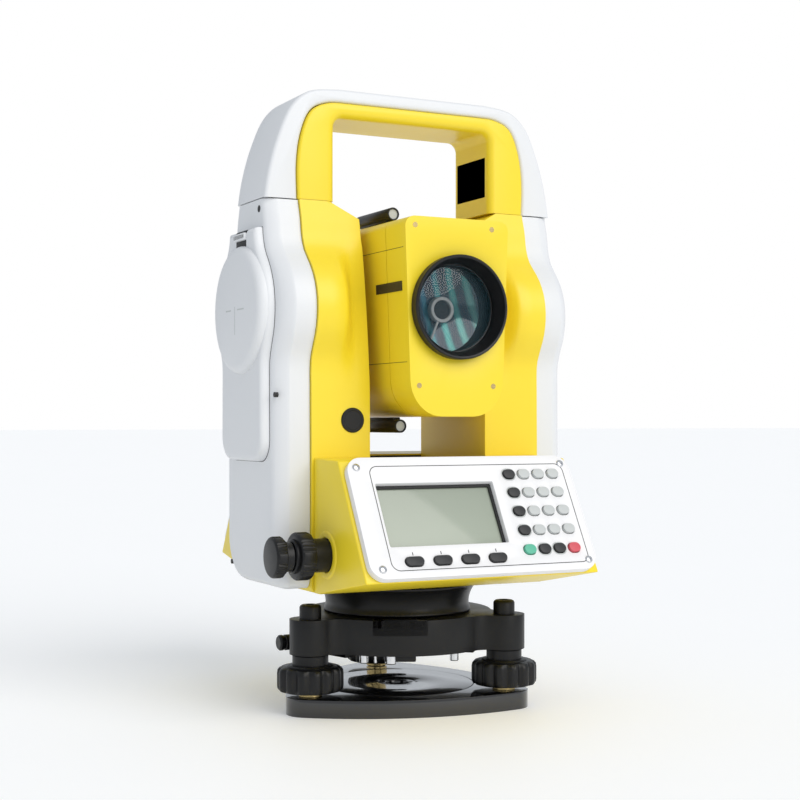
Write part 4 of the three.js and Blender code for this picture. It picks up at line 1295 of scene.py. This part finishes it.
@dataclass
class Keypad:
    """One keypad housing with its panel, display and keys, built in the panel's own plane."""

    look: Look = Look.FRONT
    lean: float = 29.3
    centre_y: float = -92.9
    centre_z: float = 116.0
    half_width: float = 70.0
    half_height: float = 35.5
    corner: float = 9.0
    thickness: float = 4.3
    housing_half: float = 72.0
    housing_top: float = 146.0
    casing_bottom: float = 71.2
    heel: float = 46.0
    casing_face: float = -40.6
    display_x: tuple = (-55.5, 16.8)
    display_v: tuple = (-17.5, 19.7)
    soft_x: tuple = (-43.6, -26.7, -9.9, 7.0)
    soft_v: float = -26.4
    soft_size: tuple = (10.5, 5.0)
    grid_x: tuple = (28.4, 38.0, 47.6, 57.2)
    grid_v: tuple = (23.6, 12.2, 0.7, -10.9, -22.5)
    grid_size: tuple = (7.2, 5.4)
    proud: float = 1.4

    def build(self) -> None:
        """Makes every piece of this keypad."""
        self.housing()
        self.panel()
        self.bezel()
        self.display()
        self.keys()
        self.screws()

    @property
    def facing(self) -> Matrix:
        """The half turn that carries a front piece to this keypad's side."""
        return Matrix.Rotation(0 if self.look is Look.FRONT else math.pi, 4, "Z")

    @property
    def plane(self) -> Matrix:
        """Carries (u, v, w) on the panel to the frame."""
        tilt = Matrix.Rotation(math.radians(90 - self.lean), 4, "X")
        return self.facing @ Matrix.Translation((0, self.centre_y, self.centre_z)) @ tilt

    def name(self, word: str) -> str:
        """A piece's name with its side in front."""
        return f"{self.look.value}_{word}"

    def on_plane(self, v: float, w: float) -> tuple[float, float]:
        """The (y, z) of a point of the front panel's plane."""
        lean = math.radians(self.lean)
        return (self.centre_y + v * math.sin(lean) - w * math.cos(lean),
                self.centre_z + v * math.cos(lean) + w * math.sin(lean))

    def housing(self) -> None:
        """The wedge-shaped housing, the dark gasket behind the panel and the dark seal where it meets the
        casing.
        """
        back, half = -self.thickness - 0.3, self.half_height + 0.5
        side = [self.on_plane(half, back), self.on_plane(-half, back), (-self.heel, self.casing_bottom),
                (self.casing_face, self.casing_bottom), (self.casing_face, self.housing_top)]
        form = Form.prism(side, -self.housing_half, self.housing_half, Axis.X)
        form.bevel(0.9, 3, lambda p: p.y < self.casing_face - 0.1)
        form.finish(self.name("wedge"), Slot.YELLOW, "alidade", self.name("housing"), place=self.facing,
                    sharp=50)
        ring = [rounded((-w, -v), (w, v), (6.0, 6.0)) for w, v in ((68.2, 33.8), (65.0, 31.0))]
        gasket = Form.prism(ring[0], back - 0.1, back + 0.35, holes=[ring[1]])
        gasket.finish(self.name("gasket"), Slot.SEAL_AND_SHADE, "alidade", place=self.plane)
        joint = Form.block((-self.housing_half + 1, self.casing_face - 0.2, self.casing_bottom + 1),
                           (self.housing_half - 1, self.casing_face + 0.55, self.housing_top - 1))
        joint.finish(self.name("housing_seal"), Slot.SEAL_AND_SHADE, "alidade", place=self.facing)

    def panel(self) -> None:
        """The pale panel with openings for the display and every key."""
        outline = rounded((-self.half_width, -self.half_height), (self.half_width, self.half_height),
                          (self.corner, self.corner), 8)
        holes = [rounded((self.display_x[0], self.display_v[0]), (self.display_x[1], self.display_v[1]),
                         (0.8, 0.8), 3)]
        holes += [self.pill(x, v, size, 0.4) for x, v, size in self.key_places()]
        form = Form.prism(outline, -self.thickness, 0, holes=holes)

        def rim(p: Vector) -> bool:
            """Whether a place lies on the panel's outer edge."""
            return abs(p.x) > self.half_width - self.corner or abs(p.y) > self.half_height - 0.6

        form.bevel(2.4, 5, lambda p: p.z > -0.01 and rim(p) and self.outside(p))
        form.bevel(0.35, 2, lambda p: p.z > -0.01 and not self.outside(p))
        form.finish(self.name("face"), Slot.PANEL, "alidade", self.name("panel"), place=self.plane, sharp=50)

    def outside(self, p: Vector) -> bool:
        """Whether a place on the panel lies outside every opening."""
        return abs(p.x) > self.half_width - 8 or abs(p.y) > self.half_height - 5

    def pill(self, x: float, v: float, size: Point, grow: float = 0.0) -> list[tuple[float, float]]:
        """A key's outline with round ends."""
        w, h = size[0] / 2 + grow, size[1] / 2 + grow
        return rounded((x - w, v - h), (x + w, v + h), (h - 0.01, h - 0.01), 5)

    def key_places(self) -> list[tuple[float, float, Point]]:
        """The (u, v, size) of each key, soft keys first and then the grid by rows."""
        soft = [(x, self.soft_v, self.soft_size) for x in self.soft_x]
        return soft + [(x, v, self.grid_size) for v in self.grid_v for x in self.grid_x]

    def bezel(self) -> None:
        """The thin dark outline let into the panel round the display and keys."""
        low, high, radius, width = (-57.5, -31.4), (65.2, 30.2), 5.0, 0.45
        outer = rounded(low, high, (radius, radius), 8)
        inner = rounded((low[0] + width, low[1] + width), (high[0] - width, high[1] - width),
                        (radius - width, radius - width), 8)
        line = Form.prism(outer, -0.3, 0.03, holes=[inner])
        line.finish(self.name("outline"), Slot.KEY_DARK, "alidade", place=self.plane)

    def display(self) -> None:
        """The display under its window, with a dark frame round it that is a little wider at the top and
        right as painted shade.
        """
        (u0, u1), (v0, v1) = self.display_x, self.display_v
        glass = Form.block((u0 - 3.2, v0 - 3.2, -6.9), (u1 + 3.2, v1 + 3.2, -4.4))
        glass.finish(self.name("display"), Slot.LCD, "alidade", self.name("lcd"), place=self.plane)
        frame_outer = rounded((u0 - 0.02, v0 - 0.02), (u1 + 0.02, v1 + 0.02), (0.8, 0.8), 3)
        # a black bezel, left wider at the top and right as painted shadow of the recess walls
        frame_inner = rounded((u0 + 1.3, v0 + 1.1), (u1 - 1.5, v1 - 1.6), (0.4, 0.4), 3)
        mask = Form.prism(frame_outer, -4.5, -3.2, holes=[frame_inner])
        mask.finish(self.name("display_mask"), Slot.SEAL_AND_SHADE, "alidade", place=self.plane)

    def keys(self) -> None:
        """The keys, each a rounded cap, with the pale rings and the little ticks beside them."""
        for number, (x, v, size) in enumerate(self.key_places()):
            soft = number < len(self.soft_x)
            row, column = divmod(number - len(self.soft_x), len(self.grid_x))
            slot = self.key_slot(soft, row, column)
            form = Form.prism(self.pill(x, v, size), -3.3, self.proud)
            form.bevel(0.7, 3, lambda p: p.z > self.proud - 0.01)
            word = f"soft_key_f{number + 1}" if soft else f"key_{row + 1}_{column + 1}"
            if self.look is Look.FRONT:
                form.finish(f"cap_{word}", slot, word, word, place=self.plane)
            else:
                nodes = ("rear_keymat",) if number == 0 else ()
                form.finish(f"rear_cap_{word}", slot, "alidade", *nodes, place=self.plane)
            if not soft and slot is Slot.KEY_DARK:
                ring = Form.prism(self.pill(x, v, size, 1.15), -0.3, 0.05,
                                  holes=[self.pill(x, v, size, 0.42)])
                ring.finish(self.name(f"ring_{word}"), Slot.KEY_PALE, "alidade", place=self.plane)
            if soft:
                tick = Form.block((x - 0.25, v + 3.6, -0.3), (x + 0.25, v + 5.4, 0.04))
                tick.finish(self.name(f"tick_{word}"), Slot.KEY_DARK, "alidade", place=self.plane)

    def key_slot(self, soft: bool, row: int, column: int) -> Slot:
        """The finish of a key by its place.

        Args:
            soft: whether it is a key under the display.
            row: its row in the grid.
            column: its column in the grid.

        Returns:
            The key's slot.
        """
        if soft or (column == 0 and row < 4):
            return Slot.KEY_DARK
        if row < 4:
            return Slot.KEY_PALE
        return (Slot.KEY_GREEN, Slot.KEY_DARK, Slot.KEY_DARK, Slot.KEY_RED)[column]

    def screws(self) -> None:
        """The bright screws at the panel's corners."""
        for number, (u, v) in enumerate(((-64.5, 29.5), (64.5, 30.0), (-63.0, -30.0), (64.5, -30.0)), 1):
            form = Form.turned([(0, -0.4), (2.2, -0.4), (2.2, 0.35), (1.9, 0.7), (1.0, 0.9), (0.9, 0.3),
                                (0, 0.3)],
                               steps=28)
            form.finish(self.name(f"screw_{number}"), Slot.BRIGHT, "alidade",
                        place=self.plane @ Matrix.Translation((u, v, 0)))


# ---- clamp and tangent knobs --------------------------------------------------------------------


@dataclass
class Drive:
    """A clamp knob with a tangent knob beyond it on the same axis."""

    prefix: str
    side: int
    y: float
    z: float
    face: float
    lengths: tuple
    ribs: int = 6
    barrel: float = 9.2
    clamp: float = 13.0
    tangent: float = 11.2
    shaft: float = 4.5

    def build(self) -> None:
        """Makes the collar on the casing and the two knobs."""
        place = Matrix.Translation((0, self.y, self.z)) @ Matrix.Diagonal((self.side, 1, 1, 1))
        self.collar(place)
        self.clamp_knob(place)
        self.tangent_knob(place)

    def collar(self, place: Matrix) -> None:
        """The low ring on the casing round the barrel.

        Args:
            place: the drive's place on the casing.
        """
        f = self.face
        inner, outer = self.barrel + 0.3, self.barrel + 3.5
        form = Form.turned([(inner, f - 3), (outer + 0.6, f - 3), (outer + 0.5, f + 0.05), (outer, f + 0.5),
                            (outer - 0.7, f + 0.8), (inner + 0.3, f + 0.8), (inner, f + 0.5)], Axis.X)
        slot = Slot.YELLOW if self.side < 0 else Slot.WHITE
        form.finish(f"{self.prefix}_collar", slot, "alidade", place=place)

    def ribbed(self, sections: Sequence[Point]) -> Form:
        """A knob's skin with groups of fine ribs round it.

        Args:
            sections: (radius, x, share of the ribs' depth) of each ring.

        Returns:
            The closed form.
        """
        rings = []
        step = 32
        count = self.ribs * step
        for reach, x, share in sections:
            ring = []
            for k in range(count):
                turn = 2 * math.pi * k / count
                within = (k % step) / step
                rib = 0.0
                if 0.2 < within < 0.8:
                    rib = 0.5 - 0.5 * math.cos(2 * math.pi * 4 * (within - 0.2) / 0.6)
                r = reach - 0.6 * share * rib
                ring.append((x, r * math.cos(turn), r * math.sin(turn)))
            rings.append(ring)
        return Form.skin(rings)

    def clamp_knob(self, place: Matrix) -> None:
        """The nearer, wider knob and the barrel it stands on.

        Args:
            place: the drive's place on the casing.
        """
        start, end = self.face + self.lengths[0], self.face + self.lengths[1]
        hollow, b = self.shaft + 0.3, self.barrel
        barrel = Form.turned([(hollow, self.face - 4), (b, self.face - 4), (b, start - 1.0),
                              (b - 0.5, start - 0.6),
                              (b - 0.5, start + 0.5), (hollow, start + 0.5)], Axis.X)
        r = self.clamp
        knob = self.ribbed([
            (r - 3.0, start, 0), (r - 1.2, start + 0.2, 0), (r - 0.4, start + 0.7, 0.2), (r, start + 1.5, 1),
            (r, end - 1.6, 1), (r - 0.4, end - 0.8, 0.3), (r - 1.2, end - 0.2, 0), (r - 2.4, end, 0)])
        lip = Form.turned([(hollow, end - 0.5), (9.4, end - 0.5), (9.4, end + 1.2), (8.8, end + 1.8),
                           (hollow, end + 1.8)],
                          Axis.X)
        knob.join(barrel, lip)
        name = f"{self.prefix}_clamp_knob"
        knob.finish(f"{self.prefix}_clamp", Slot.BLACK_METAL, name, name, place=place, sharp=34)

    def tangent_knob(self, place: Matrix) -> None:
        """The farther knob: a flat-faced disc with ribs round its rim, on its own shaft.

        Args:
            place: the drive's place on the casing.
        """
        root, neck, end = (self.face + self.lengths[k] for k in (1, 2, 3))
        r = self.tangent
        stem = Form.turned([(0, self.face - 4), (self.shaft, self.face - 4), (self.shaft, root + 2.1),
                            (r - 3.4, root + 2.1),
                            (r - 3.0, root + 2.6), (r - 3.4, neck - 1.4), (r - 1.8, neck - 0.9),
                            (r - 1.8, neck + 0.5),
                            (0, neck + 0.5)], Axis.X, steps=64)
        knob = self.ribbed([(r - 2.0, neck, 0), (r - 0.8, neck + 0.2, 0.1), (r, neck + 0.9, 1),
                            (r, end - 1.7, 1),
                            (r - 0.3, end - 0.8, 0.3), (r - 1.0, end - 0.2, 0), (r - 1.8, end, 0)])
        knob.join(stem)
        name = f"{self.prefix}_tangent_knob"
        knob.finish(f"{self.prefix}_tangent", Slot.BLACK_METAL, name, name, place=place, sharp=34)


# ---- telescope ----------------------------------------------------------------------------------


@dataclass
class Telescope:
    """The telescope: casing, objective, focus and eyepiece rings and the two sights."""

    half_width: float = 31.0
    low: float = 169.0
    high: float = 279.0
    front: float = -74.0
    rear: float = 56.0
    belly: float = 20.0
    top: float = 6.0
    ring: float = 29.0
    sleeve: float = 26.6
    bore: float = 24.5
    tip: float = -80.0

    def build(self) -> None:
        """Makes every piece of the telescope."""
        self.casing()
        self.objective()
        self.glass()
        self.rear_end()
        self.sight("upper", "upper_sight", 284.5, (279.3, 283.0), -39.0)
        self.sight("lower", "lower_sight", 163.7, (165.0, 168.7), -48.0)
        self.details()

    def casing(self) -> None:
        """The box-shaped casing with its round belly and the objective's opening."""
        outline = rounded((-self.half_width, self.low), (self.half_width, self.high), (self.belly, self.top),
                          10)
        sleeve = circle((0, TRUNNION_Z), self.sleeve + 0.3, 72)
        front = Form.prism(outline, self.front, self.front + 24, Axis.Y, holes=[sleeve])
        front.bevel(3.0, 5, lambda p: p.y < self.front + 0.01 and not self.near_bore(p), angle=50)
        front.bevel(0.6, 2, lambda p: p.y < self.front + 0.01 and self.near_bore(p), angle=50)
        front.shape(self.taper)
        front.finish("telescope_front", Slot.YELLOW, "telescope", "telescope_body", sharp=50)
        inset = 0.35
        slim = rounded((-self.half_width + inset, self.low + inset),
                       (self.half_width - inset, self.high - inset),
                       (self.belly - inset, self.top - inset), 10)
        seam = Form.prism(slim, self.front + 23.9, self.front + 24.6, Axis.Y).shape(self.taper)
        seam.finish("telescope_joint", Slot.SEAL_AND_SHADE, "telescope")
        back = Form.prism(outline, self.front + 24.5, self.rear, Axis.Y)
        back.bevel(2.2, 4, lambda p: p.y > self.rear - 0.01, angle=50)
        back.slice(2, 199, 262).shape(self.taper)
        back.finish("telescope_rear", Slot.YELLOW, "telescope", sharp=50)
        for name, side in (("left", -1), ("right", 1)):
            trunnion = Form.turned([(0, 30), (15, 30), (15, 45.5), (0, 45.5)], Axis.X, (0, 0, TRUNNION_Z))
            trunnion.finish(f"trunnion_{name}", Slot.YELLOW, "telescope",
                            place=Matrix.Diagonal((side, 1, 1, 1)))

    def near_bore(self, p: Vector) -> bool:
        """Whether a place lies at the objective's opening."""
        return math.hypot(p.x, p.z - TRUNNION_Z) < self.sleeve + 1

    @staticmethod
    def taper(p: Vector) -> Point:
        """Widens the casing a little towards its top."""
        return p.x * (1 + 0.0012 * (p.z - TRUNNION_Z)), p.y, p.z

    def objective(self) -> None:
        """The black ring round the objective and the ribbed bore behind it."""
        tip, r, f = self.tip, self.ring, self.front
        profile = [(r - 1.7, tip + 0.3), (r - 1.3, tip), (r - 0.6, tip), (r, tip + 0.6), (r, f - 0.3),
                   (self.sleeve, f - 0.3), (self.sleeve, f + 23), (self.bore - 0.6, f + 23)]
        profile += [(self.bore - 0.6 + (0.5 if k % 2 else 0.0), f + 22 - k) for k in range(17)]
        profile += [(self.bore - 0.6, f + 4.4), (self.bore, f + 4.2), (self.bore + 0.2, f - 1.0),
                    (r - 1.9, tip + 2.0)]
        form = Form.turned(profile, Axis.Y, (0, 0, TRUNNION_Z), 96)
        form.finish("objective_mount", Slot.BLACK_PLASTIC, "telescope", "objective_ring", sharp=40)

    def glass(self) -> None:
        """The clear front element, the coated one behind it and the little emitter tube."""
        at = (0, 0, TRUNNION_Z)
        f, edge = self.front, self.bore - 0.4
        clear = Form.turned([(0, f + 1.8), (9, f + 2.1), (17, f + 2.9), (edge, f + 4.0), (edge, f + 4.8),
                             (0, f + 4.8)], Axis.Y, at, 96)
        clear.finish("front_element", Slot.LENS, "telescope", "objective_lens", material=PAINT.glass)
        coated = Form.turned([(0, f + 21.4), (10, f + 21.0), (18, f + 19.8), (edge, f + 17.8),
                              (edge, f + 23.5),
                              (0, f + 23.5)], Axis.Y, at, 96)
        coated.finish("coated_element", Slot.LENS, "telescope")
        tube = Form.turned([(5.4, f + 17.6), (5.7, f + 17.2), (7.1, f + 17.2), (7.4, f + 17.6),
                            (7.4, f + 21.4),
                            (5.4, f + 21.4)], Axis.Y, at, 48)
        tube.finish("emitter_tube", Slot.KEY_PALE, "telescope")
        disc = Form.turned([(0, f + 18.4), (5.5, f + 18.4), (5.5, f + 21.4), (0, f + 21.4)], Axis.Y, at, 48)
        disc.finish("emitter_face", Slot.SEAL_AND_SHADE, "telescope")
        strut = Form.block((7.2, f + 17.6, -0.6), (edge, f + 18.6, 0.6)).bevel(0.2, 2)
        turn = Matrix.Translation(at) @ Matrix.Rotation(math.radians(112), 4, "Y")
        strut.finish("emitter_strut", Slot.KEY_PALE, "telescope", place=turn)

    def rear_end(self) -> None:
        """The eyepiece end: barrel, ribbed focus ring, eyepiece ring and its lens."""
        at = (0, 0, TRUNNION_Z)
        barrel = Form.turned([(0, 50), (21, 50), (21, 63.0), (20.2, 64.0), (14, 64.0), (14, 77.3), (10, 77.3),
                              (10, 88), (0, 88)], Axis.Y, at, 72)
        barrel.finish("eyepiece_barrel", Slot.BLACK_METAL, "telescope")
        place = Matrix.Translation(at) @ Matrix.Rotation(math.radians(-90), 4, "X")
        rings = []
        for reach, y in ((20.5, 64.3), (21.9, 64.7), (22.5, 65.6), (22.5, 75.6), (21.9, 76.8), (20.6, 77.3)):
            rings.append([(px, py, y) for px, py in fluted(reach, 0.6, 40, 5)])
        Form.skin(rings).finish("focus_grip", Slot.BLACK_PLASTIC, "focus_ring", "focus_ring", place=place,
                                sharp=30)
        eye = Form.turned([(10.3, 77.6), (14.2, 77.6), (15.5, 78.4), (15.5, 82.0), (14.9, 82.5), (14.9, 84.0),
                           (15.5, 84.5), (15.5, 89.8), (14.6, 91.4), (13.2, 92.0), (9.6, 92.0), (8.2, 90.6),
                           (8.0, 88.4), (10.3, 88.4)], Axis.Y, at, 64)
        eye.finish("eyepiece_cup", Slot.BLACK_PLASTIC, "eyepiece_ring", "eyepiece_ring")
        lens = Form.turned([(0, 88.1), (8.0, 88.1), (8.0, 88.8), (4.4, 89.6), (0, 89.9)], Axis.Y, at, 40)
        lens.finish("eyepiece_lens", Slot.LENS, "telescope")

    def sight(self, word: str, node: str, z: float, foot: Point, front: float) -> None:
        """One peep sight: a black tube on a foot with a pale end.

        Args:
            word: upper or lower.
            node: the frame node it stands for.
            z: the height of the tube's axis.
            foot: the foot's lower and upper limits.
            front: where the tube starts along y.
        """
        x, r, length = -22.0, 3.8, 44.0
        tube = Form.turned([(r - 1.1, front + 1.2), (r - 0.8, front), (r - 0.3, front), (r, front + 0.6),
                            (r, front + length - 0.6), (r - 0.4, front + length), (0, front + length),
                            (0, front + 1.2)], Axis.Y, (x, 0, z), 40)
        base = Form.block((x - 2.2, front + 5, foot[0]), (x + 2.2, front + length - 5, foot[1])).bevel(0.5, 2)
        tube.join(base)
        tube.finish(f"{word}_peep_sight", Slot.BLACK_PLASTIC, "telescope", node)
        end = Form.turned([(0, front + 0.9), (r - 1.0, front + 0.9), (r - 1.0, front + 1.6),
                           (0, front + 1.6)],
                          Axis.Y, (x, 0, z), 32)
        end.finish(f"{word}_sight_lens", Slot.KEY_PALE, "telescope")

    def details(self) -> None:
        """Screws on the front, the seams round the casing and the plain strip on its side."""
        for number, (x, z) in enumerate(((-24, 186), (23, 186), (-26.5, 274), (22, 274)), 1):
            screw = Form.turned([(0, self.front - 0.08), (1.5, self.front - 0.08), (1.5, self.front + 0.5),
                                 (0, self.front + 0.5)], Axis.Y, (x, 0, z), 28)
            screw.finish(f"telescope_screw_{number}", Slot.BRASS, "telescope")
        for number, z in enumerate((199.0, 262.0), 1):
            w = self.half_width + 0.03
            line = Form.block((-w, self.front + 3.2, z - 0.15),
                              (w, self.rear - 1.8, z + 0.15)).shape(self.taper)
            line.finish(f"casing_line_{number}", Slot.SEAL_AND_SHADE, "telescope")
        strip = Form.block((-31.35, -68, 238.2), (-31.0, -36, 243.6)).shape(self.taper)
        strip.finish("side_strip", Slot.LABEL, "telescope")


# ---- studio -------------------------------------------------------------------------------------


@dataclass
class Studio:
    """Camera, soft lights and a pale floor."""

    camera_at: tuple = (-0.4018, -0.7885, 0.166)
    look: tuple = (0.454, 0.891, 0.0)
    lens: float = 66.4
    shift: tuple = (0.00375, 0.0275)
    ambient: float = 0.62
    ambient_tint: tuple = (0.93, 0.98, 1.04, 1)
    key_from: tuple = (0.20, -0.80, 0.56)
    key_softness: float = 50.0
    key_strength: float = 1.75
    key_tint: tuple = (1.0, 0.965, 0.92)
    floor_glow: float = 0.12

    def build(self) -> None:
        """Makes the studio."""
        self.camera()
        self.world()
        self.sun(self.key_from, self.key_softness, self.key_strength)
        self.floor()

    def camera(self) -> None:
        """The camera, level and looking at the instrument's left front."""
        data = bpy.data.cameras.new("camera")
        data.lens = self.lens
        data.sensor_width = 36.0
        data.shift_x, data.shift_y = self.shift
        data.clip_start = 0.05
        made = bpy.data.objects.new("camera", data)
        made.location = self.camera_at
        made.rotation_euler = Vector(self.look).to_track_quat("-Z", "Y").to_euler()
        bpy.context.scene.collection.objects.link(made)
        bpy.context.scene.camera = made

    def world(self) -> None:
        """A white backdrop, dimmer as a light than it looks, and plain colour handling."""
        world = bpy.data.worlds.new("studio")
        world.use_nodes = True
        tree = world.node_tree
        seen = tree.nodes.new("ShaderNodeLightPath")
        strength = tree.nodes.new("ShaderNodeMix")
        strength.inputs[2].default_value = self.ambient
        strength.inputs[3].default_value = 1.0
        tree.links.new(seen.outputs["Is Camera Ray"], strength.inputs[0])
        colour = tree.nodes.new("ShaderNodeMix")
        colour.data_type = "RGBA"
        colour.inputs[6].default_value = self.ambient_tint
        colour.inputs[7].default_value = (1, 1, 1, 1)
        tree.links.new(seen.outputs["Is Camera Ray"], colour.inputs[0])
        tree.links.new(colour.outputs[2], tree.nodes["Background"].inputs["Color"])
        tree.links.new(strength.outputs[0], tree.nodes["Background"].inputs["Strength"])
        bpy.context.scene.world = world
        bpy.context.scene.view_settings.view_transform = "Standard"

    def sun(self, towards: Point, softness: float, strength: float) -> None:
        """One large soft key light from far off.

        Args:
            towards: the direction it comes from.
            softness: its apparent width in degrees.
            strength: its strength in watts per square metre.
        """
        data = bpy.data.lights.new("key_light", "SUN")
        data.angle = math.radians(softness)
        data.energy = strength
        data.color = self.key_tint
        made = bpy.data.objects.new("key_light", data)
        made.rotation_euler = (-Vector(towards)).to_track_quat("-Z", "Y").to_euler()
        bpy.context.scene.collection.objects.link(made)

    def floor(self) -> None:
        """The pale floor."""
        bm = bmesh.new()
        bmesh.ops.create_grid(bm, x_segments=1, y_segments=1, size=30.0)
        mesh = bpy.data.meshes.new("floor")
        bm.to_mesh(mesh)
        bm.free()
        graph = Graph("floor_paint")
        patches = graph.noise(3.0, 2.0)
        graph.set(Base_Color=graph.mix(patches, (0.95, 0.95, 0.95), (0.97, 0.97, 0.97)), Roughness=0.6)
        graph.set(Emission_Color=(1.0, 1.0, 1.0, 1.0), Emission_Strength=self.floor_glow)
        mesh.materials.append(graph.material)
        made = bpy.data.objects.new("floor", mesh)
        bpy.context.scene.collection.objects.link(made)


def main() -> None:
    """Builds the studio and every sub-assembly."""
    logging.basicConfig(level=logging.INFO, format="%(name)s: %(message)s")
    Studio().build()
    for assembly in (
            Tribrach(), InstrumentBase(), Yoke(), SideCovers(), Handle(), Keypad(Look.FRONT),
            Keypad(Look.REAR),
            Drive("horizontal", -1, -57.0, 93.7, 72.0, (10.5, 19.5, 26.5, 33)),
            Drive("vertical", 1, 26.0, 190.0, 94.0, (4, 12.5, 17.5, 24)),
            Telescope()):
        LOG.info("building %s", type(assembly).__name__)
        assembly.build()


if __name__ == "__main__":
    main()
